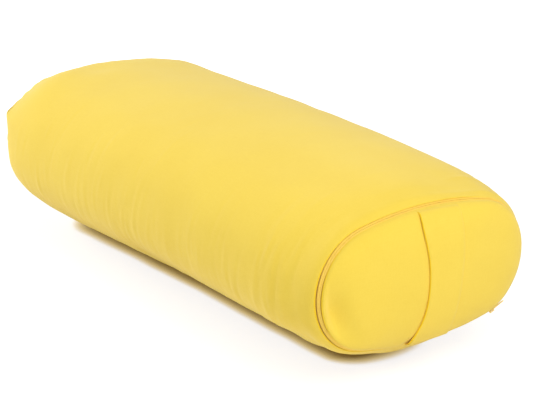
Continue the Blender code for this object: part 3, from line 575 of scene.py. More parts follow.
CLOTH_START_INSET = 0.003
CLOTH_START_RIPPLE = 0.0004
CLOTH_SETTINGS = {"quality": 6, "mass": 0.25, "tension_stiffness": 20.0,
                  "compression_stiffness": 20.0, "shear_stiffness": 6.0,
                  "bending_stiffness": 0.4, "use_pressure": True, "uniform_pressure_force": 4.0,
                  "shrink_min": -0.010, "vertex_group_mass": "held"}
CLOTH_LAST_FRAME = 20
CLOTH_ROW_SKIP = 3
CLOTH_COLUMN_SKIP = 2
CLOTH_WHOLE_ROWS = 40           # shorter pieces keep every row
CLOTH_REAR_ROWS = 6             # rows kept at the ends of the body
CLOTH_FRONT_ROWS = 10
WRINKLE_WIDTH = 9               # rounds of smoothing that leave only the broad swell
WRINKLE_SOFTNESS = 1
WRINKLE_SHARE = 0.55
WRINKLE_LIMIT = 0.0008


def smoothed(field, rounds):
    """Field over rows and columns, evened out with its neighbours a number of times."""
    for _ in range(rounds):
        field = (np.roll(field, 1, 1) + 2 * field + np.roll(field, -1, 1)) / 4
        padded = np.concatenate((field[:1], field, field[-1:]))
        field = (padded[:-2] + 2 * field + padded[2:]) / 4
    return field


def wrinkle_heights(rear, tube, panel):
    """Wrinkles of the cover's outer rows under the push of the filling, from simulated cloth.

    The seams and the zip hold still. The broad swell is left out, because the packed fibre
    keeps the oval shape, which cloth blown up by air alone would lose.
    """
    parts = (rear, tube, panel)
    kept = [coarse_rows(rows) for rows in parts]
    heights = settled_cloth(*(rows[keep][:, ::CLOTH_COLUMN_SKIP]
                              for rows, keep in zip(parts, kept)))
    return [on_all_rows(height, keep, len(rows))
            for height, keep, rows in zip(heights, kept, parts)]


def coarse_rows(rows):
    """Numbers of the rows that the simulation takes, with all of those close to the ends."""
    count = len(rows)
    if count <= CLOTH_WHOLE_ROWS:
        return np.arange(count)
    middle = np.arange(CLOTH_REAR_ROWS, count - CLOTH_FRONT_ROWS - 1, CLOTH_ROW_SKIP)
    return np.concatenate((np.arange(CLOTH_REAR_ROWS), middle,
                           np.arange(count - CLOTH_FRONT_ROWS, count)))


def on_all_rows(height, kept, count):
    """Heights on a few rows and columns, brought to all of them."""
    fine_columns = np.arange(COLUMNS)
    coarse_columns = fine_columns[::CLOTH_COLUMN_SKIP]
    by_column = np.array([np.interp(fine_columns, coarse_columns, row, period=COLUMNS)
                          for row in height])
    return np.array([np.interp(np.arange(count), kept, column) for column in by_column.T]).T


def settled_cloth(rear, tube, panel):
    """Heights of the wrinkles on the rows given, held at the rear seam and along the zip."""
    base = np.concatenate((rear, tube, panel))
    count, columns, _ = base.shape
    mesh = shell_mesh("filled_cover", base, start_pole=REAR_POLE, end_pole=FRONT_POLE, girth=GIRTH)
    held = np.zeros((count, columns), bool)
    held[len(rear) - 1:len(rear) + 1] = True
    first_hem = len(rear) + len(tube) - len(FRONT_HEM_SHARES)
    held[first_hem - 1:len(rear) + len(tube) + 2] = True
    normal = np.zeros(3 * len(mesh.vertices))
    mesh.vertex_normals.foreach_get("vector", normal)
    normal = normal.reshape(-1, 3)[:-2].reshape(base.shape)
    ripple = plane_waves(base, seed=3, count=20, shortest=0.012, longest=0.05)
    inset = CLOTH_START_INSET + CLOTH_START_RIPPLE * ripple
    start = base - np.where(held, 0.0, inset)[:, :, None] * normal
    poles = np.array((REAR_POLE, FRONT_POLE))
    mesh.vertices.foreach_set("co", np.concatenate((start.reshape(-1, 3), poles)).reshape(-1))
    mesh.update()
    piece = in_scene("filled_cover", mesh)
    group = piece.vertex_groups.new(name="held")
    group.add(np.flatnonzero(held.reshape(-1)).tolist(), 1.0, "REPLACE")
    cloth = piece.modifiers.new("filling", "CLOTH")
    for key, value in CLOTH_SETTINGS.items():
        setattr(cloth.settings, key, value)
    cloth.settings.effector_weights.gravity = 0.0
    cloth.collision_settings.use_collision = False
    cloth.point_cache.frame_start = 1
    cloth.point_cache.frame_end = CLOTH_LAST_FRAME
    for frame_number in range(1, CLOTH_LAST_FRAME + 1):
        bpy.context.scene.frame_set(frame_number)
    settled = piece.evaluated_get(bpy.context.evaluated_depsgraph_get()).to_mesh()
    places = np.zeros(3 * len(settled.vertices))
    settled.vertices.foreach_get("co", places)
    bpy.data.objects.remove(piece)
    bpy.context.scene.frame_set(1)
    push = np.sum((places.reshape(-1, 3)[:-2].reshape(base.shape) - base) * normal, 2)
    wrinkles = smoothed(push - smoothed(push, WRINKLE_WIDTH), WRINKLE_SOFTNESS) * WRINKLE_SHARE
    wrinkles = WRINKLE_LIMIT * np.tanh(wrinkles / WRINKLE_LIMIT) * ~held
    return np.split(wrinkles, (len(rear), len(rear) + len(tube)))


# Small shapes of the filled cloth

def plane_waves(points, seed, count, shortest, longest):
    """Smooth random field of unit size, as a sum of waves."""
    random = np.random.default_rng(seed)
    field = np.zeros(points.shape[:-1])
    for _ in range(count):
        heading = random.normal(size=3)
        heading /= np.linalg.norm(heading)
        wavelength = random.uniform(shortest, longest)
        phase = random.uniform(0, 2 * math.pi)
        field += np.sin(points @ heading * (2 * math.pi / wavelength) + phase)
    return field / math.sqrt(count / 2)


FLOOR_GAP = 0.0002
FLOOR_SOFTNESS = 0.0008
LUMP_HEIGHT = 0.00022
FOLD_HEIGHT = 0.00042
FOLD_LEAST_SHARE = 0.25         # of that height
FOLD_WIDTHS = (0.0017, 0.0032)
FOLD_LENGTHS = (0.010, 0.034)
FOLD_SLANT = 0.10
FOLD_END = 2.2                  # lengths from its middle at which a fold has faded out
FOLDS_START = REAR_RING_X + 0.02
FOLDS_END = FRONT_RING_X - 0.008
ZIP_FOLDS_START = FOLDS_END - 0.075
# Groups of folds on both sides, beside the zip and on the crown: how many, their middle turn
# and its spread, their strength, and where they start along the body
FOLD_GROUPS = ((330, 0.545, 0.060, 1.0, FOLDS_START), (330, 0.955, 0.060, 1.0, FOLDS_START),
               (90, 0.47, 0.050, 1.0, ZIP_FOLDS_START), (90, 0.03, 0.050, 1.0, ZIP_FOLDS_START),
               (110, 0.25, 0.10, 0.35, FOLDS_START))
CROWN_SWELL = 0.0056            # the crown is a little fuller halfway along
CROWN_SWELL_X = 0.040
CROWN_SWELL_REACH = 0.20
CROWN_SWELL_HEIGHTS = (0.075, 0.165)    # above the floor, between which it comes in
BEYOND_SLIDER_RUN = (0.130, 0.180)      # turns from which the swell may reach up to the zip
# Where the body lies back from the plain oval or stands out: place along, turn, height, and
# reach along and round
BODY_HOLLOWS = ((-0.270, 0.340, 0.0032, 0.022, 0.045), (0.262, 0.185, -0.0036, 0.045, 0.060),
                (-0.215, 0.215, -0.0026, 0.080, 0.050), (-0.250, 0.285, -0.0030, 0.022, 0.030),
                (0.170, 0.625, -0.0042, 0.130, 0.075), (0.170, 0.875, -0.0030, 0.130, 0.075),
                (0.060, 0.565, -0.0020, 0.130, 0.045), (0.285, 0.440, -0.0030, 0.050, 0.080),
                (-0.285, 0.600, -0.0022, 0.030, 0.050), (-0.285, 0.900, -0.0016, 0.030, 0.050))
# How far in the low sides lie from the plain oval, so that they slope almost straight to the
# floor: depth at places along the body, and its share at turns down from the widest line
LOW_SIDE_PLACES = (-0.306, -0.285, -0.225, -0.150, -0.075, 0.000,
                   0.050, 0.125, 0.225, 0.275, 0.300)
LOW_SIDE_DEPTHS = (0.0000, 0.0030, 0.0041, 0.0057, 0.0080, 0.0108,
                   0.0088, 0.0066, 0.0086, 0.0060, 0.0030)
LOW_SIDE_TURNS = (0.000, 0.025, 0.050, 0.075, 0.100, 0.160, 0.180, 0.1955, 0.210, 0.250)
LOW_SIDE_SHARES = (0.00, 0.12, 0.50, 0.85, 1.00, 1.00, 0.52, 0.07, 0.00, 0.00)
LOW_SIDE_STATIONS = np.linspace(-0.33, 0.33, 661)
LOW_SIDE_EVENING = (200, 4)     # rounds of smoothing along and round the body
# Hollows behind the front hem, which they leave where it is
END_HOLLOWS = ((0.265, 0.695, -0.0060, 0.028, 0.055), (0.265, 0.805, -0.0060, 0.028, 0.055),
               (0.272, 0.445, -0.0026, 0.026, 0.080))
# Distances from the body's ends over which its small shapes, its hollows and those behind the
# hem come in
LUMPS_COME_IN = (0.0, 0.03)
HOLLOWS_COME_IN = (0.0, 0.010)
END_HOLLOWS_COME_IN = (0.007, 0.022)


def evened(values, rounds):
    """Values round the bolster, smoothed with their neighbours."""
    for _ in range(rounds):
        values = (np.roll(values, 1) + 2 * values + np.roll(values, -1)) / 4
    return values


def puffed(distance, rise, fade, turns, heights, rounds):
    """Fullness of cloth at distances from its edge, with its height given at some turns."""
    height = evened(np.interp(TURNS, turns, heights, period=1.0), rounds)
    return (1 - np.exp(-distance / rise)) * bell(distance, fade) * height


def tube_relief(rows):
    """Bulge beside the zip, swell of the crown, lumps of the filling, hollows and cross folds."""
    distance = np.maximum(FRONT_RING_X - rows[:, :, 0] - CLOTH_EDGE_GAP, 0.0)
    puff = puffed(distance, BODY_PUFF_RISE, BODY_PUFF_FADE, BODY_PUFF_TURNS, BODY_PUFF,
                  BODY_PUFF_EVENING)
    from_ends = np.minimum(distance, rows[:, :, 0] - REAR_RING_X)
    inside = smooth_step(from_ends, *LUMPS_COME_IN)
    ends = smooth_step(from_ends, *HOLLOWS_COME_IN)
    behind_hem = smooth_step(from_ends, *END_HOLLOWS_COME_IN)
    swell = (bell(rows[:, :, 0] - CROWN_SWELL_X, CROWN_SWELL_REACH)
             * smooth_step(rows[:, :, 2], *CROWN_SWELL_HEIGHTS)
             * (ends + (1 - ends) * smooth_step(TURNS, *BEYOND_SLIDER_RUN)))
    lumps = LUMP_HEIGHT * plane_waves(rows, seed=11, count=14, shortest=0.05, longest=0.16)
    low = hollows(rows, END_HOLLOWS) - low_side_depth(rows)
    return (puff + CROWN_SWELL * swell + ends * hollows(rows, BODY_HOLLOWS) + behind_hem * low
            + inside * (lumps + girth_folds(rows)))


def hollows(rows, shapes):
    """Heights of soft hollows and swellings of the body."""
    heights = np.zeros(rows.shape[:2])
    for place, turn, height, reach, reach_round in shapes:
        heights += (height * bell(rows[:, :, 0] - place, reach)
                    * bell(turns_from(turn), reach_round))
    return heights


def low_side_depth(rows):
    """How far in the two low sides lie, between the widest line and the floor."""
    rounds_along, rounds_round = LOW_SIDE_EVENING
    depths = evened(np.interp(LOW_SIDE_STATIONS, LOW_SIDE_PLACES, LOW_SIDE_DEPTHS, left=0.0),
                    rounds_along)
    below = np.minimum(np.clip(TURNS - 0.5, 0.0, 0.25), np.clip(1.0 - TURNS, 0.0, 0.5))
    shares = evened(np.interp(below, LOW_SIDE_TURNS, LOW_SIDE_SHARES), rounds_round)
    return np.interp(rows[:, :, 0], LOW_SIDE_STATIONS, depths) * shares


def girth_folds(rows):
    """Fine ridges that run round the sides, where the cloth is slack lengthwise."""
    random = np.random.default_rng(19)
    field = np.zeros(rows.shape[:2])
    x = rows[:, :, 0]
    for count, middle, turn_spread, strength, start in FOLD_GROUPS:
        for _ in range(count):
            place = random.uniform(start, FOLDS_END)
            turn = random.normal(middle, turn_spread)
            width = random.uniform(*FOLD_WIDTHS)
            length = random.uniform(*FOLD_LENGTHS)
            slant = random.normal(0.0, FOLD_SLANT)
            height = (strength * FOLD_HEIGHT * random.uniform(FOLD_LEAST_SHARE, 1.0)
                      * random.choice((1, 1, -1)))
            along_girth = turns_from(turn) * GIRTH
            near = np.abs(along_girth) < FOLD_END * length
            across = x[:, near] - place - slant * along_girth[near]
            field[:, near] += height * bell(across, width) * bell(along_girth[near], length)
    return field


PANEL_PUFF_TURNS = (0.00, 0.05, 0.10, 0.15, 0.20, 0.50, 0.80, 0.88, 0.95)
PANEL_PUFF = (0.0002, 0.0018, 0.0026, 0.0018, 0.0000, 0.0000, 0.0000, 0.0010, 0.0008)
PANEL_PUFF_RISE = 0.0040
PANEL_PUFF_FADE = 0.030
PANEL_PUFF_EVENING = 60
PANEL_LUMPS_COME_IN = (0.0, 0.12)       # as a share of the way in from the panel's edge
PANEL_HOLLOWS_COME_IN = (0.0, 0.008)
# Where the front panel lies back: turn, distance from its edge, height, reach round and inwards
PANEL_HOLLOWS = ((0.528, 0.012, -0.0095, 0.050, 0.014), (0.712, 0.006, -0.0022, 0.009, 0.008))


def panel_relief(rows, share):
    """Soft lumps of the filling under a panel."""
    inside = smooth_step(1.0 - share, *PANEL_LUMPS_COME_IN)[:, None]
    waves = plane_waves(rows, seed=41, count=12, shortest=0.035, longest=0.10)
    return inside * waves * LUMP_HEIGHT


def front_panel_relief(rows):
    """Fullness of the front panel beside the zip, and its soft hollows."""
    distance = np.linalg.norm(rows - rows[:1], axis=2)
    puff = puffed(distance, PANEL_PUFF_RISE, PANEL_PUFF_FADE, PANEL_PUFF_TURNS, PANEL_PUFF,
                  PANEL_PUFF_EVENING)
    return puff + panel_hollows(TURNS, distance)


def panel_hollows(turns, distance):
    """Height of the hollows at a distance inwards from the front panel's edge."""
    heights = 0.0
    for turn, middle, height, reach_round, reach_in in PANEL_HOLLOWS:
        heights = heights + (height * bell(turns - turn, reach_round)
                             * bell(distance - middle, reach_in))
    return heights * smooth_step(distance, *PANEL_HOLLOWS_COME_IN)


REAR_PUCKER_HEIGHT = 0.0007 / 1.6
REAR_PUCKER_REACH = 0.018
REAR_PUCKER_WAVES = (9, 14, 23, 31, 44)     # round the seam
REAR_PUCKER_SHARES = (0.4, 1.0)
# Where the rear seam stands out in an ear or lies back in a hollow: turn, height, half width
REAR_EARS = ((0.452, 0.0044, 0.016), (0.500, -0.0040, 0.030), (0.555, 0.0020, 0.020),
             (0.405, -0.0012, 0.018), (0.345, 0.0018, 0.026), (0.060, 0.0030, 0.022),
             (0.010, -0.0026, 0.028), (0.950, 0.0026, 0.022), (0.160, -0.0012, 0.025))
REAR_EAR_REACH = 0.020
REAR_EAR_FADE = 1.5


def rear_pucker(distance):
    """Gathers that the rear seam draws into the cloth on both its sides, and its larger ears."""
    random = np.random.default_rng(7)
    field = np.zeros(COLUMNS)
    for waves in REAR_PUCKER_WAVES:
        share = random.uniform(*REAR_PUCKER_SHARES)
        field += share * np.sin(2 * math.pi * (waves * TURNS + random.random()))
    gathers = REAR_PUCKER_HEIGHT * field * np.exp(-distance / REAR_PUCKER_REACH)
    ears = np.zeros(COLUMNS)
    for turn, height, half_width in REAR_EARS:
        ears += height * bell(turns_from(turn), half_width)
    return gathers + ears * np.exp(-(distance / REAR_EAR_REACH) ** REAR_EAR_FADE)


# Materials

YELLOW_DARK = (0.92, 0.66, 0.070)
YELLOW_LIGHT = (0.98, 0.73, 0.095)
# Painted shade: a deeper, more saturated yellow for folded edges and grooves, standing for the
# light they lose
YELLOW_PAINTED_SHADE = (0.98, 0.65, 0.010)
BROAD_TONES = 14.0              # scales of the cloth's patterns
FINE_TONES = 420.0
SLUBS = 900.0
THICK_THREAD_WIDTH = 0.0007
THICK_THREAD_LENGTH = 0.016
TONE_SHARES = (0.34, 0.26, 0.20, 0.20)  # of the broad and fine tones and the threads each way
TONE_SPAN = (0.3, 0.7)
WEAVE_RIDGES = 0.35
WEAVE_SHARE = 0.5               # of the relief
SLUB_SHARE = 0.8
PLASTIC_TONES = 300.0
SCRATCHES = 1500.0
SCRATCH_SPAN = (0.3, 0.6)
SCRATCH_ROUGHNESS = 0.2         # how much rougher the roughest place is than the smoothest
WORN_SHARE = 0.8                # of a metal's brightness, where it is scratched


def new_material(name):
    """Material, its node tree and the places on the piece, for its patterns."""
    material = bpy.data.materials.new(name)
    material.use_nodes = True
    tree = material.node_tree
    return material, tree, new_node(tree, "ShaderNodeTexCoord").outputs["Object"]


def finish_material(material, inputs):
    tree = material.node_tree
    wire_up(tree, tree.nodes["Principled BSDF"], inputs)
    return material


def weave_height(tree, uv, pitch):
    """Plain weave: threads over and under each other, in the cloth's own UV map."""
    parts = new_node(tree, "ShaderNodeSeparateXYZ", {0: uv}).outputs
    warp, weft = (maths(tree, "SINE", maths(tree, "MULTIPLY", parts[way], math.pi / pitch))
                  for way in ("X", "Y"))
    return weighted_sum(tree, (maths(tree, "MULTIPLY", warp, weft), 1.0),
                        (maths(tree, "ABSOLUTE", warp), WEAVE_RIDGES),
                        (maths(tree, "ABSOLUTE", weft), WEAVE_RIDGES))


def thick_threads(tree, uv, across, along):
    """Noise drawn out into threads of a size each way."""
    drawn = new_node(tree, "ShaderNodeVectorMath", {0: uv, 1: (1 / across, 1 / along, 1.0)},
                     operation="MULTIPLY")
    return noise(tree, 1.0, 1.0, drawn.outputs[0])


def cloth_material(name, dark, light, pitch, relief, painted_shade=None):
    """Woven cloth; its colour turns into a painted shade colour where the mesh is marked with
    painted shade.
    """
    material, tree, place = new_material(name)
    uv = new_node(tree, "ShaderNodeUVMap", uv_map="cloth").outputs["UV"]
    patterns = (noise(tree, BROAD_TONES, 3.0, place), noise(tree, FINE_TONES, 2.0, place, 0.7),
                thick_threads(tree, uv, THICK_THREAD_WIDTH, THICK_THREAD_LENGTH),
                thick_threads(tree, uv, THICK_THREAD_LENGTH, THICK_THREAD_WIDTH))
    tone = weighted_sum(tree, *zip(patterns, TONE_SHARES))
    colour = colour_between(tree, tone, dark, light, *TONE_SPAN)
    # Painted shade: the weight stored on the mesh mixes the colour towards the shade colour
    if painted_shade:
        depth = new_node(tree, "ShaderNodeAttribute", attribute_name="painted_shade").outputs["Fac"]
        mix = new_node(tree, "ShaderNodeMix", {"Factor": depth, 6: colour, 7: (*painted_shade, 1.0)},
                       data_type="RGBA")
        colour = mix.outputs[2]
    height = weighted_sum(tree, (weave_height(tree, uv, pitch), WEAVE_SHARE),
                          (noise(tree, SLUBS, 1.0, uv), SLUB_SHARE))
    bump = new_node(tree, "ShaderNodeBump", {"Strength": 0.6, "Distance": relief,
                                             "Height": height})
    return finish_material(material, {
        "Base Color": colour, "Normal": bump.outputs["Normal"], "Roughness": 0.92,
        "Specular IOR Level": 0.15, "Sheen Weight": 0.28, "Sheen Roughness": 0.5})


def plastic_material(name, dark, light, roughness):
    material, tree, place = new_material(name)
    tones = noise(tree, PLASTIC_TONES, 2.0, place)
    colour = colour_between(tree, tones, dark, light, *TONE_SPAN)
    return finish_material(material, {"Base Color": colour, "Roughness": roughness,
                                      "Specular IOR Level": 0.12})


def metal_material(name, colour, roughness, metallic):
    """Metal or lacquer with fine scratches, about as rough as it says."""
    material, tree, place = new_material(name)
    scratches = noise(tree, SCRATCHES, 3.0, place)
    worn = tuple(WORN_SHARE * part for part in colour)
    return finish_material(material, {
        "Base Color": colour_between(tree, scratches, worn, colour, *SCRATCH_SPAN),
        "Roughness": maths(tree, "MULTIPLY_ADD", scratches, SCRATCH_ROUGHNESS,
                           roughness - SCRATCH_ROUGHNESS / 2),
        "Metallic": metallic})


# Building the cover

CROWN_SMOOTHNESS = 0.7          # share of the wrinkles that the stretched crown loses
CROWN_SMOOTH_HEIGHTS = (0.09, 0.15)
PANEL_WRINKLE_SHARE = 0.5
FRONT_HEM_ROWS = (2, 3, 4)      # of the front panel, over its hem
REAR_INNER_START = 4            # the first row in from the rear seam that has an inner face
PANEL_INNER_SKIP = 2
POLE_STEP = 0.00002             # how far a panel's pole stands out over its last row
CLOTH_INWARDS = np.array((COVER_CLOTH, 0, 0))


def above_floor(rows):
    """Rows with their lowest cloth laid flat on the floor."""
    laid = rows.copy()
    height = rows[:, :, 2] - FLOOR_GAP
    laid[:, :, 2] = FLOOR_GAP + (height + np.sqrt(height ** 2 + FLOOR_SOFTNESS ** 2)) / 2
    return laid


def tube_surface(rows, wrinkles):
    """The body's outer rows with all their small shapes, laid on the floor."""
    normals = normals_of(rows)
    rear_distance = rows[:, :, 0] - REAR_RING_X
    stretched = smooth_step(rows[:, :, 2], *CROWN_SMOOTH_HEIGHTS)
    wrinkles = wrinkles * (1 - CROWN_SMOOTHNESS * stretched)
    relief = tube_relief(rows) + wrinkles + rear_pucker(rear_distance)
    return above_floor(rows + relief[:, :, None] * normals)


def seam_lip(row, normal):
    """Rows that round the body's cloth over into the rear seam."""
    rows = []
    start = row[:, 0].mean() - REAR_RING_X
    for step in range(1, LIP_STEPS + 1):
        angle = math.pi / 2 * step / LIP_STEPS
        sunk = LIP_RADIUS * (1 - math.cos(angle))
        x = REAR_RING_X + start * (1 - math.sin(angle)) + LIP_PLAY
        rows.append(with_x(row - normal * sunk, x))
    return rows


def mark_hem_shade(mesh, path, first, count):
    """Mark the rows of a hem's folded edge for painted shade."""
    depths = np.zeros((len(path), COLUMNS))
    depths[first:first + count] = painted_shade_weight()
    mark_painted_shade(mesh, depths)


def make_tube(cloth, rows):
    """Body of the cover: lip at the rear seam, outer face, rolled hem and inner face."""
    normals = normals_of(rows)
    hem_rows = len(FRONT_HEM_SHARES)
    lip = seam_lip(rows[0], normals[0])
    roll = rolled_edge(rows[-1], rows[-2], normals[-1])
    under = [rows[-j] - HEM * normals[-j] for j in range(2, hem_rows + 1)]
    inner = [rows[-j] - COVER_CLOTH * normals[-j]
             for j in range(hem_rows + 2, len(rows) + 1, INNER_ROW_SKIP)]
    path = [*reversed(lip), *rows, *roll, *under, *inner, lip[-1] + CLOTH_INWARDS]
    mesh = shell_mesh("cover_body", path, closed=True, girth=GIRTH)
    mark_hem_shade(mesh, path, len(lip) + len(rows) - 1, len(roll) + len(under) + 1)
    return add_piece("cover_body", mesh, cloth, "cover_tube")


def front_panel_surface(rows, wrinkles):
    normals = normals_of(rows, end_pole=FRONT_POLE)
    relief = panel_relief(rows, np.array(PANEL_SHARES)) + front_panel_relief(rows)
    return rows + (relief + PANEL_WRINKLE_SHARE * wrinkles)[:, :, None] * normals


def make_front_panel(cloth, rows):
    """Front panel of the cover: inner face, hem, rolled edge and outer face."""
    normals = normals_of(rows, end_pole=FRONT_POLE)
    pole = np.array((rows[-1, :, 0].mean() + POLE_STEP, 0, RING_CENTRE_Z))
    outward = band(0.0, -1.0) - band(0.0)
    roll = rolled_edge(rows[0], rows[0] + (band(1.0) - band(0.0)), outward)
    under = [rows[j] - HEM * normals[j] for j in FRONT_HEM_ROWS]
    inner = [rows[j] - COVER_CLOTH * normals[j]
             for j in range(FRONT_HEM_ROWS[-1] + 2, len(rows), PANEL_INNER_SKIP)]
    path = [*reversed(inner), *reversed(under), *reversed(roll), *rows]
    mesh = shell_mesh("cover_end_panel", path, start_pole=pole - CLOTH_INWARDS, end_pole=pole)
    mark_hem_shade(mesh, path, len(inner), len(under) + len(roll) + 1)
    return add_piece("cover_end_panel", mesh, cloth, "cover_front_panel")


def rear_panel_surface(rows, wrinkles):
    normals = normals_of(rows, start_pole=REAR_POLE)
    share = np.array(PANEL_SHARES[::-1])
    distance = (1.0 - share)[:, None] * RING_HALF_HEIGHT
    relief = (panel_relief(rows, share) + PANEL_WRINKLE_SHARE * wrinkles
              + rear_pucker(distance))
    return rows + relief[:, :, None] * normals


def make_rear_panel(cloth, rows):
    """Rear panel of the cover: outer face and inner face."""
    pole = np.array((rows[0, :, 0].mean() - POLE_STEP, 0, RING_CENTRE_Z))
    normals = normals_of(rows, start_pole=pole)
    inner = [rows[-j] - COVER_CLOTH * normals[-j]
             for j in range(REAR_INNER_START, len(rows), PANEL_INNER_SKIP)]
    mesh = shell_mesh("cover_far_panel", [*rows, *inner], start_pole=pole,
                      end_pole=pole + CLOTH_INWARDS)
    return add_piece("cover_far_panel", mesh, cloth, "cover_rear_panel")


# The liner and its filling, which follow the cover from inside

LINER_CLOTH = 0.0005
LINER_DEPTH = 0.0016            # under the cover's outer face
LINER_END_ROOM = 0.0042         # how much deeper it lies at the zip and at the rear seam
LINER_END_POWER = 4             # how late a panel of it goes down to there
LINER_REAR_REACH = 0.020
FILL_DEPTH = 0.0012             # under the liner's outer face
FILL_TUFT_HEIGHT = 0.0006
LINER_ROW_SKIP = 3
LINER_COLUMN_SKIP = 2
SLOT_HALF_WIDTH = 0.0032
SLOT_TAPE_TAIL = 0.010
SLOT_CUT_DEPTH = 0.004
CHANNEL_SOFTNESS = 0.0004
CHANNEL_RAMP = 0.020
CHANNEL_TAPE_PLAY = 0.0003
CHANNEL_SLIDER_PLAY = 0.0005
LINER_TAPE_LOW, LINER_TAPE_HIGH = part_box("liner_zip_tape_lower")
CHANNEL_X = LINER_TAPE_HIGH.x + 0.004
CHANNEL_Y = LINER_TAPE_HIGH.y + LINER_CLOTH + CHANNEL_TAPE_PLAY
CHANNEL_FLOOR_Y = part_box("liner_zip_slider")[0].y - CHANNEL_SLIDER_PLAY
LINER_ZIP_Z = (LINER_TAPE_LOW.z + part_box("liner_zip_tape_upper")[1].z) / 2


def pressed_flat(rows, face_y):
    """Rows pressed in along the liner's zip, on the +Y side."""
    ramp = smooth_step(np.abs(rows[:, :, 0]), CHANNEL_X, CHANNEL_X + CHANNEL_RAMP)
    over = rows[:, :, 1] - (face_y + 2 * (BODY_HALF_WIDTH - CHANNEL_Y) * ramp)
    flat = rows.copy()
    flat[:, :, 1] += (-over - np.sqrt(over ** 2 + CHANNEL_SOFTNESS ** 2)) / 2
    return flat


def thinned(rows):
    """Every few rows and columns, with the first and the last row."""
    kept = sorted(set(range(0, len(rows), LINER_ROW_SKIP)) | {len(rows) - 1})
    return rows[kept][:, ::LINER_COLUMN_SKIP]


def liner_tube_rows(tube):
    """Outer face of the liner under the body, from the rear seam to the ring of the zip."""
    rows = tube[:-len(FRONT_HEM_SHARES)]
    front = np.clip(1 - (FRONT_RING_X - rows[:, :, 0]) / END_ROUND_LENGTH, 0, 1)
    rear = np.clip(1 - (rows[:, :, 0] - REAR_RING_X) / LINER_REAR_REACH, 0, 1)
    depth = LINER_DEPTH + LINER_END_ROOM * np.maximum(front, rear)
    sunk = thinned(rows - depth[:, :, None] * normals_of(rows))
    ring_end = band(0.0, LINER_DEPTH + LINER_END_ROOM)[::LINER_COLUMN_SKIP]
    return np.concatenate((sunk, ring_end[None]))


def liner_panel_rows(panel, normals, shares):
    """Outer face of the liner under a panel, whose rows lie at these shares of its size."""
    depth = LINER_DEPTH + LINER_END_ROOM * np.array(shares) ** LINER_END_POWER
    return thinned(panel - depth[:, None, None] * normals)


def make_liner_tube(cloth, outer):
    """Closed thin tube with a slot for its zip."""
    inner = outer - LINER_CLOTH * normals_of(outer)
    path = np.concatenate((pressed_flat(outer, CHANNEL_Y),
                           pressed_flat(inner, CHANNEL_Y - LINER_CLOTH)[::-1]))
    mesh = shell_mesh("liner_body", path, closed=True, girth=GIRTH)
    half_length = LINER_TAPE_HIGH.x - SLOT_TAPE_TAIL
    slot = cutter_box(
        (-half_length, CHANNEL_Y - SLOT_CUT_DEPTH, LINER_ZIP_Z - SLOT_HALF_WIDTH),
        (half_length, CHANNEL_Y + SLOT_CUT_DEPTH, LINER_ZIP_Z + SLOT_HALF_WIDTH))
    return add_piece("liner_body", cut_mesh(mesh, slot), cloth, "liner_tube")


def cutter_box(low, high):
    mesh = bpy.data.meshes.new("cutter")
    work = bmesh.new()
    bmesh.ops.create_cube(work, size=1.0)
    for vert in work.verts:
        vert.co = Vector([a + (b - a) * (c + 0.5) for a, b, c in zip(low, high, vert.co)])
    work.to_mesh(mesh)
    work.free()
    return mesh


def cut_mesh(mesh, cutter_mesh):
    """The mesh with the cutter taken out of it."""
    whole = in_scene("whole", mesh)
    cutter = in_scene("cutter", cutter_mesh)
    boolean = whole.modifiers.new("cut", "BOOLEAN")
    boolean.operation = "DIFFERENCE"
    boolean.object = cutter
    graph = bpy.context.evaluated_depsgraph_get()
    result = bpy.data.meshes.new_from_object(whole.evaluated_get(graph))
    for piece in (whole, cutter):
        bpy.data.objects.remove(piece)
    return result


def make_liner_panel(name, cloth, outer, pole, node):
    """Closed thin shell of a liner panel; the front one's rows end at its pole."""
    at_end = pole[0] > 0
    inward = np.array((-1.0 if at_end else 1.0, 0.0, 0.0))
    outer = outer if at_end else outer[::-1]
    inner = outer + LINER_CLOTH * inward
    tip = np.array((outer[-1, :, 0].mean(), 0.0, RING_CENTRE_Z))
    mesh = shell_mesh(name, np.concatenate((inner[::-1], outer)),
                      start_pole=tip + LINER_CLOTH * inward, end_pole=tip)
    return add_piece(name, mesh, cloth, node)


def make_filling(material, rear, tube, front):
    """The packed fibre, as one tufted body a little inside the liner."""
    rows = np.concatenate((rear, tube, front))
    normals = normals_of(rows, start_pole=REAR_POLE, end_pole=FRONT_POLE)
    waves = plane_waves(rows, seed=57, count=24, shortest=0.010, longest=0.030)
    tufts = FILL_TUFT_HEIGHT * (1 + waves / 3)
    rows = pressed_flat(rows - (FILL_DEPTH + tufts)[:, :, None] * normals, CHANNEL_FLOOR_Y)
    tips = [np.array((end[:, 0].mean(), 0.0, RING_CENTRE_Z)) for end in (rows[0], rows[-1])]
    mesh = shell_mesh("packed_fibre", rows, start_pole=tips[0], end_pole=tips[1], girth=GIRTH)
    return add_piece("packed_fibre", mesh, material, "fibre_fill")


def make_inside(cloth, fibre, rear, tube, front):
    """Liner and filling, from the finished rows of the cover."""
    liner_tube = liner_tube_rows(tube)
    liner_front = liner_panel_rows(front, normals_of(front, end_pole=FRONT_POLE), PANEL_SHARES)
    liner_rear = liner_panel_rows(rear, normals_of(rear, start_pole=REAR_POLE),
                                  PANEL_SHARES[::-1])
    return [make_liner_tube(cloth, liner_tube),
            make_liner_panel("liner_end_panel", cloth, liner_front, FRONT_POLE,
                             "liner_front_panel"),
            make_liner_panel("liner_far_panel", cloth, liner_rear, REAR_POLE,
                             "liner_rear_panel"),
            make_filling(fibre, liner_rear, liner_tube[1:-1], liner_front[1:])]


# The zip

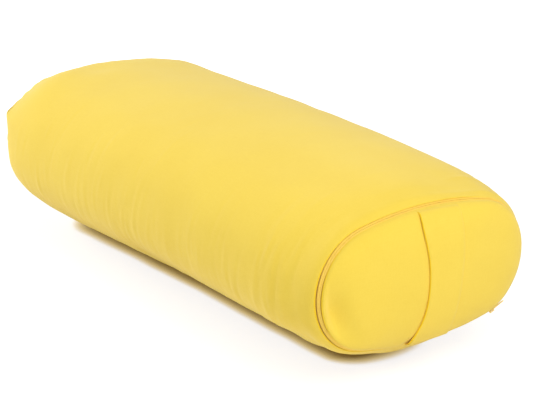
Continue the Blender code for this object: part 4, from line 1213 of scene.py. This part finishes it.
CHAIN_START_TURN = -0.1236      # a little past the slider, low on the +Y side
CHAIN_END_TURN = 33.8 / 48
TAPE_START_TURN = -10 / 48
TAPE_END_TURN = 34 / 48
TAPE_INNER_EDGE = 0.0008
TAPE_FLEX_LINE = 0.004          # where the tape can bend along its length
TAPE_OUTER_EDGE = 0.0096
TAPE_THICKNESS = 0.0006
TAPE_HOLLOW_SHARE = 1.16        # the tape lies deeper in the panel's hollows than the cloth
TAPE_STATION_STEP = 0.0035
TAPE_SHARP_ANGLE = math.radians(40)
RING_GIRTH = 0.6492
COIL_PITCH = 0.00125
COIL_WIRE_RADIUS = 0.00044
COIL_MIDDLE = 0.00122           # of one coil, from the middle of the zip
COIL_HALF_WIDTH = 0.00122
COIL_MESHING = 0.00032          # how much closer the coils sit where the grooves are deep
COIL_HALF_HEIGHT = 0.0008
FILLER_HALF_WIDTH = 0.00114     # of the cord that lies inside a coil
FILLER_HALF_HEIGHT = 0.00060
FILLER_FLATNESS = 0.7
FILLER_SIDES = 12
COIL_DEPTH = 0.0007
COIL_TURN_POINTS = 9
COIL_JOIN_DISTANCE = 0.00006    # within which the ends of two turns are one
COIL_ASIDE = 0.001              # a place off the coil's middle, for its direction
WIRE_SIDES = 5
COIL_INPUTS = {"Geometry": "Geometry", "Pitch": "Float", "Half width": "Float",
               "Half height": "Float", "Wire radius": "Float", "Material": "Material"}


def make_zip_tape(name, side, material, node):
    """Woven tape under one hem; side is -1 at the body and 1 at the panel."""
    count = round((TAPE_END_TURN - TAPE_START_TURN) * RING_GIRTH / TAPE_STATION_STEP)
    turns = np.linspace(TAPE_START_TURN, TAPE_END_TURN, count)
    half = TAPE_THICKNESS / 2
    lines = (TAPE_INNER_EDGE, TAPE_FLEX_LINE, TAPE_OUTER_EDGE)
    corners = [(line, -half) for line in lines] + [(line, half) for line in reversed(lines)]
    rows = np.stack([band(side * across, tape_depth(side, across, turns) + half + depth, turns)
                     for across, depth in corners], 1)
    mesh = shell_mesh(name, rows, girth=2 * TAPE_OUTER_EDGE, caps=True)
    mesh.set_sharp_from_angle(angle=TAPE_SHARP_ANGLE)
    return add_piece(name, mesh, material, node)


def tape_depth(side, across, turns):
    """Depth of the tape under the cloth's face, which it follows into the panel's hollows."""
    if side < 0:
        return TAPE_DEPTH
    return TAPE_DEPTH - TAPE_HOLLOW_SHARE * panel_hollows(turns % 1.0, across - TAPE_INNER_EDGE)


def vector_attribute(tree, name):
    node = new_node(tree, "GeometryNodeInputNamedAttribute", {"Name": name},
                    data_type="FLOAT_VECTOR")
    return node.outputs["Attribute"]


def coil_turns_tree():
    """One turn of wire on each point, set along its two stored directions."""
    tree = bpy.data.node_groups.new("coil_turns", "GeometryNodeTree")
    for label, kind in COIL_INPUTS.items():
        tree.interface.new_socket(label, in_out="INPUT", socket_type="NodeSocket" + kind)
    tree.interface.new_socket("Geometry", in_out="OUTPUT", socket_type="NodeSocketGeometry")
    given = new_node(tree, "NodeGroupInput").outputs
    spiral = new_node(tree, "GeometryNodeCurveSpiral", {
        "Resolution": COIL_TURN_POINTS, "Rotations": 1.0, "Start Radius": 1.0,
        "End Radius": 1.0, "Height": given["Pitch"]})
    flatten = new_node(tree, "ShaderNodeCombineXYZ", {
        "X": given["Half width"], "Y": given["Half height"], "Z": 1.0})
    shaped = new_node(tree, "GeometryNodeTransform", {
        "Geometry": spiral.outputs["Curve"], "Scale": flatten.outputs["Vector"]})
    wire = new_node(tree, "GeometryNodeCurvePrimitiveCircle", {
        "Resolution": WIRE_SIDES, "Radius": given["Wire radius"]})
    tube = new_node(tree, "GeometryNodeCurveToMesh", {
        "Curve": shaped.outputs["Geometry"], "Profile Curve": wire.outputs["Curve"]})
    aim = new_node(tree, "FunctionNodeAxesToRotation", {
        "Primary Axis": vector_attribute(tree, "along"),
        "Secondary Axis": vector_attribute(tree, "away")}, primary_axis="Z", secondary_axis="X")
    turns = new_node(tree, "GeometryNodeInstanceOnPoints", {
        "Points": given["Geometry"], "Instance": tube.outputs["Mesh"],
        "Rotation": aim.outputs["Rotation"]})
    real = new_node(tree, "GeometryNodeRealizeInstances",
                    {"Geometry": turns.outputs["Instances"]})
    joined = new_node(tree, "GeometryNodeMergeByDistance", {
        "Geometry": real.outputs["Geometry"], "Distance": COIL_JOIN_DISTANCE})
    smooth = new_node(tree, "GeometryNodeSetShadeSmooth", {"Geometry": joined.outputs["Geometry"]})
    finish = new_node(tree, "GeometryNodeSetMaterial", {
        "Geometry": smooth.outputs["Geometry"], "Material": given["Material"]})
    new_node(tree, "NodeGroupOutput", {"Geometry": finish.outputs["Geometry"]})
    return tree


def unit(vectors):
    return vectors / np.linalg.norm(vectors, axis=-1, keepdims=True)


def points_mesh(name, points, **directions):
    """Loose points that hold directions, for a node tree to build on."""
    mesh = bpy.data.meshes.new(name)
    mesh.from_pydata(points.tolist(), [], [])
    for label, vectors in directions.items():
        attribute = mesh.attributes.new(label, "FLOAT_VECTOR", "POINT")
        attribute.data.foreach_set("vector", vectors.astype(np.float32).reshape(-1))
    return mesh


def grown_mesh(name, source, tree, inputs):
    """Plain mesh made by a node tree from a source mesh, with the tree's inputs by their names."""
    holder = in_scene(name + "_source", source)
    modifier = holder.modifiers.new("pattern", "NODES")
    modifier.node_group = tree
    sockets = {item.name: item.identifier for item in tree.interface.items_tree
               if item.in_out == "INPUT"}
    for label, value in inputs.items():
        modifier[sockets[label]] = value
    graph = bpy.context.evaluated_depsgraph_get()
    mesh = bpy.data.meshes.new_from_object(holder.evaluated_get(graph))
    mesh.name = name
    bpy.data.objects.remove(holder)
    bpy.data.meshes.remove(source)
    return mesh


def coil_middle(turns):
    """Distance of a coil's middle from the zip's middle."""
    return COIL_MIDDLE - COIL_MESHING * groove(turns)


def make_zip_coil(name, side, tree, material, node):
    """Coil of one half of the zip; the panel's side is half a turn on, so that they mesh."""
    length = (CHAIN_END_TURN - CHAIN_START_TURN) * RING_GIRTH
    count = round(length / COIL_PITCH)
    shift = 0.5 if side > 0 else 0.0
    turns = CHAIN_START_TURN + (np.arange(count) + shift) / RING_GIRTH * COIL_PITCH
    points = band(side * coil_middle(turns), COIL_DEPTH, turns)
    next_turns = turns + COIL_PITCH / RING_GIRTH
    ahead = band(side * coil_middle(next_turns), COIL_DEPTH, next_turns)
    away = band(side * (coil_middle(turns) + COIL_ASIDE), COIL_DEPTH, turns) - points
    source = points_mesh(name + "_points", points, along=unit(ahead - points), away=unit(away))
    mesh = grown_mesh(name, source, tree, {
        "Pitch": COIL_PITCH, "Half width": COIL_HALF_WIDTH - COIL_WIRE_RADIUS,
        "Half height": COIL_HALF_HEIGHT - COIL_WIRE_RADIUS, "Wire radius": COIL_WIRE_RADIUS,
        "Material": material})
    add_mesh(mesh, filler_cord(side, turns))
    return add_piece(name, mesh, material, node)


def filler_cord(side, turns):
    """Soft flattened cord that fills a coil from one end to the other."""
    angles = 2 * math.pi * np.arange(FILLER_SIDES) / FILLER_SIDES
    across = np.sign(np.cos(angles)) * np.abs(np.cos(angles)) ** FILLER_FLATNESS
    up = np.sign(np.sin(angles)) * np.abs(np.sin(angles)) ** FILLER_FLATNESS
    rows = np.stack([band(side * (coil_middle(turns) + FILLER_HALF_WIDTH * a),
                          COIL_DEPTH + FILLER_HALF_HEIGHT * b, turns)
                     for a, b in zip(across, up)], 1)
    return shell_mesh("filler_cord", rows, girth=2 * FILLER_HALF_WIDTH, caps=True)


def add_mesh(mesh, extra):
    """Put a second mesh into the first, and remove it."""
    work = bmesh.new()
    work.from_mesh(mesh)
    work.from_mesh(extra)
    work.to_mesh(mesh)
    work.free()
    bpy.data.meshes.remove(extra)


# The handle band

HANDLE_HALF_WIDTH = 0.0240
HANDLE_TOP_Y = 0.0150
HANDLE_BOTTOM_Y = 0.0030
HANDLE_STACK = 0.0023           # from the panel to the outer face
HANDLE_UNDERSIDE = 0.0001
HANDLE_CLOTH = 0.0006
HANDLE_LIP = 0.0045
HANDLE_SLACK = 0.0002
HANDLE_END_TUCK = 0.0020        # how far its ends go in under the zip's edge
HANDLE_PAINTED_SHADE_LIFT = 0.0020     # its sides get painted shade up to here
# How far each long edge of the band strays to the +Y side, at angles in degrees along it
HANDLE_SWAY_ANGLES = (-83, -65, -46, -28, -12, 1, 14, 27, 47, 70, 83)
HANDLE_SWAY_NEAR = (-0.0016, -0.0022, 0.0000, 0.0064, 0.0088, 0.0068, 0.0036, 0.0008, -0.0024,
                    -0.0046, -0.0050)
HANDLE_SWAY_FAR = (-0.0030, -0.0020, -0.0010, 0.0000, 0.0006, 0.0010, 0.0010, 0.0000, -0.0016,
                   -0.0028, -0.0034)
HANDLE_SWAY_DEGREE = 6
HANDLE_END_ANGLE = math.radians(83.0)
HANDLE_END_SHARE = 0.12         # of the band's height that is left where its ends are sewn in
HANDLE_END_REACH = 0.42         # cosine of the angle from which it is down to that
HANDLE_STATIONS = 64
HANDLE_CORNER_STEPS = 5
HANDLE_FLAT_STEPS = 13
HANDLE_SHARP_ANGLE = math.radians(50)
BACKING_PLAY = 0.0003           # inside the outer cloth's lips
BACKING_HEIGHTS = (0.0003, 0.0009)      # of its two faces above the panel
STIFFENING_INSET = 0.0016
STIFFENING_HEIGHTS = (0.0010, 0.0018)
PLATE_STEPS = 9
SLOPE_STEP = 0.0008             # to either side, for the panel's slope under the band
EDGE_SAMPLES = 200              # of one half of the panel's edge


def edge_height(y, upper):
    """Height of the panel's edge over or under a place across it."""
    start = 0.0 if upper else 0.5
    points = ring(np.linspace(start, start + 0.5, EDGE_SAMPLES))[0]
    order = np.argsort(points[:, 1])
    return np.interp(y, points[order, 1], points[order, 2])


def panel_surface(y, z):
    """Places on the front panel's dome."""
    turns = np.linspace(0.0, 1.0, 2 * EDGE_SAMPLES, endpoint=False)
    edge = band(edge_gap(turns) + HEM_EDGE_RADIUS, 0.0, turns)
    angle = np.arctan2(edge[:, 2] - RING_CENTRE_Z, edge[:, 1])
    radius = np.hypot(edge[:, 2] - RING_CENTRE_Z, edge[:, 1])
    order = np.argsort(angle)
    heading = np.arctan2(z - RING_CENTRE_Z, y)
    edge_radius = np.interp(heading, angle[order], radius[order], period=2 * math.pi)
    edge_x = np.interp(heading, angle[order], edge[order, 0], period=2 * math.pi)
    share = np.clip(np.hypot(z - RING_CENTRE_Z, y) / edge_radius, 0.0, 1.0)
    return edge_x + (FRONT_POLE[0] - edge_x) * dome_rise(share)


def handle_sway(across, angles):
    """How far a line along the band strays to the +Y side; the two long edges stray unlike."""
    places = np.radians(HANDLE_SWAY_ANGLES)
    near, far = (np.polynomial.Polynomial.fit(places, sway, HANDLE_SWAY_DEGREE)(angles)
                 for sway in (HANDLE_SWAY_NEAR, HANDLE_SWAY_FAR))
    share = (across + HANDLE_HALF_WIDTH) / (2 * HANDLE_HALF_WIDTH)
    return near + (far - near) * share


def handle_points(across, lift, angles):
    """Points over the panel: across the band, above the panel, and at angles along it."""
    share = np.sign(angles) * np.abs(np.sin(angles)) ** (2 / PANEL_FLATNESS)
    top = edge_height(HANDLE_TOP_Y + across, True)
    bottom = edge_height(HANDLE_BOTTOM_Y + across, False)
    z = (top + bottom) / 2 + (top - bottom) / 2 * share
    y = (across + HANDLE_BOTTOM_Y + (HANDLE_TOP_Y - HANDLE_BOTTOM_Y) * (1 + share) / 2
         + handle_sway(across, angles))
    x = panel_surface(y, z)
    step = SLOPE_STEP
    slope_y = (panel_surface(y + step, z) - panel_surface(y - step, z)) / (2 * step)
    slope_z = (panel_surface(y, z + step) - panel_surface(y, z - step)) / (2 * step)
    normal = unit(np.stack((np.ones_like(x), -slope_y, -slope_z), 1))
    whole = smooth_step(np.cos(angles), math.cos(HANDLE_END_ANGLE), HANDLE_END_REACH)
    raised = (lift * (HANDLE_END_SHARE + (1 - HANDLE_END_SHARE) * whole)
              + HANDLE_SLACK * np.cos(angles) ** 2 - HANDLE_END_TUCK * (1 - whole))
    return np.stack((x, y, z), 1) + raised[:, None] * normal


def handle_mesh(name, section, painted_shade_lift):
    """Band whose cross-section is a loop of points: across it and above the panel.

    Its sides get painted shade up to a height above the panel.
    """
    angles = np.linspace(-HANDLE_END_ANGLE, HANDLE_END_ANGLE, HANDLE_STATIONS)
    rows = np.stack([handle_points(across, lift, angles) for across, lift in section], 1)
    mesh = shell_mesh(name, rows, girth=4 * HANDLE_HALF_WIDTH, caps=True)
    mesh.set_sharp_from_angle(angle=HANDLE_SHARP_ANGLE)
    # Painted shade on the band's sides below the lift; the top gets none
    deep = [1.0 if lift < painted_shade_lift else 0.0 for _, lift in section]
    mark_painted_shade(mesh, np.tile(deep, (HANDLE_STATIONS, 1)))
    return mesh


def corner(middle_across, middle_lift, radius, start, end):
    """Round corner of a cross-section, between two angles in degrees."""
    return [(middle_across + radius * math.cos(math.radians(a)),
             middle_lift + radius * math.sin(math.radians(a)))
            for a in np.linspace(start, end, HANDLE_CORNER_STEPS)]


def handle_face_section():
    """Folded cloth: over the top, round both edges and a little way under."""
    radius = (HANDLE_STACK - HANDLE_UNDERSIDE) / 2
    inner = radius - HANDLE_CLOTH
    centre = HANDLE_HALF_WIDTH - radius
    middle = HANDLE_UNDERSIDE + radius
    lip = HANDLE_HALF_WIDTH - HANDLE_LIP
    flat = list(np.linspace(-centre, centre, HANDLE_FLAT_STEPS)[1:-1])
    outer = ([(-lip, HANDLE_UNDERSIDE)] + corner(-centre, middle, radius, 270, 90)
             + [(place, HANDLE_STACK) for place in flat]
             + corner(centre, middle, radius, 90, -90) + [(lip, HANDLE_UNDERSIDE)])
    inside = ([(lip, HANDLE_UNDERSIDE + HANDLE_CLOTH)] + corner(centre, middle, inner, -90, 90)
              + [(place, HANDLE_STACK - HANDLE_CLOTH) for place in reversed(flat)]
              + corner(-centre, middle, inner, 90, 270)
              + [(-lip, HANDLE_UNDERSIDE + HANDLE_CLOTH)])
    return outer + inside


def plate_section(half_width, low, high):
    """Flat cloth between two heights above the panel."""
    places = list(np.linspace(-half_width, half_width, PLATE_STEPS))
    return [(place, high) for place in places] + [(place, low) for place in reversed(places)]


def make_handle(cloth, stiff):
    """Outer cloth, inner cloth and stiffening, all cut to the same flat size."""
    inner = plate_section(HANDLE_HALF_WIDTH - HANDLE_LIP - BACKING_PLAY, *BACKING_HEIGHTS)
    between = plate_section(HANDLE_HALF_WIDTH - STIFFENING_INSET, *STIFFENING_HEIGHTS)
    for name, section, painted_shade_lift, material, slot, node in (
            ("handle_outer_cloth", handle_face_section(), HANDLE_PAINTED_SHADE_LIFT, cloth,
             "cover_cloth", "handle_face"),
            ("handle_inner_cloth", inner, 0.0, cloth, "cover_cloth", "handle_backing"),
            ("handle_stiffening", between, 0.0, stiff, "handle_interlining",
             "handle_interlining")):
        piece = add_piece(name, handle_mesh(name, section, painted_shade_lift), material, node)


make_camera()
make_lights()
make_world()
make_floor()

yellow_cotton = cloth_material("yellow_cotton", YELLOW_DARK, YELLOW_LIGHT, pitch=0.0006,
                               relief=0.00012, painted_shade=YELLOW_PAINTED_SHADE)
orange_tape = cloth_material("orange_tape", (0.95, 0.60, 0.16), (0.98, 0.66, 0.20),
                             pitch=0.0005, relief=0.0001)
natural_cotton = cloth_material("natural_cotton", (0.70, 0.65, 0.52), (0.78, 0.73, 0.6),
                                pitch=0.0007, relief=0.0001)
stiffener = cloth_material("stiffener", (0.8, 0.8, 0.78), (0.86, 0.86, 0.84),
                           pitch=0.0008, relief=0.0001)
fluffy_fibre = cloth_material("fluffy_fibre", (0.8, 0.78, 0.72), (0.9, 0.88, 0.84),
                              pitch=0.004, relief=0.002)
peach_coil = plastic_material("peach_coil", (0.98, 0.665, 0.11), (1.0, 0.705, 0.13), 0.55)
ecru_coil = plastic_material("ecru_coil", (0.7, 0.66, 0.56), (0.8, 0.76, 0.66), 0.5)
bright_metal = metal_material("bright_metal", (0.75, 0.74, 0.72), 0.3, 1.0)
lacquer = metal_material("yellow_lacquer", (0.96, 0.68, 0.12), 0.45, 0.0)

# Materials of the frame's own nodes that stay in sight, by a part of their names
for part_of_name, material in (("stop", bright_metal), ("liner_zip_slider", bright_metal),
                               ("liner_zip_tape", natural_cotton), ("liner_zip_coil", ecru_coil),
                               ("cover_zip_slider", lacquer), ("cover_zip_pull_tab", lacquer)):
    for node_name, node in NODES.items():
        if part_of_name in node_name:
            node.data.materials.clear()
            node.data.materials.append(material)

bases = (rear_rows(), tube_rows(), panel_rows())
rear_wrinkles, tube_wrinkles, panel_wrinkles = wrinkle_heights(*bases)
rear = rear_panel_surface(bases[0], rear_wrinkles)
tube = tube_surface(bases[1], tube_wrinkles)
front = front_panel_surface(bases[2], panel_wrinkles)
for piece in (make_tube(yellow_cotton, tube), make_front_panel(yellow_cotton, front),
              make_rear_panel(yellow_cotton, rear),
              *make_inside(natural_cotton, fluffy_fibre, rear, tube, front)):
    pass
coil_tree = coil_turns_tree()
for side, place in ((-1, "body_side"), (1, "panel_side")):
    make_zip_tape("zip_tape_" + place, side, orange_tape, "cover_zip_tape_" + place)
    make_zip_coil("zip_coil_" + place, side, coil_tree, peach_coil, "cover_zip_coil_" + place)
make_handle(yellow_cotton, stiffener)

bpy.context.scene.view_settings.view_transform = "Standard"
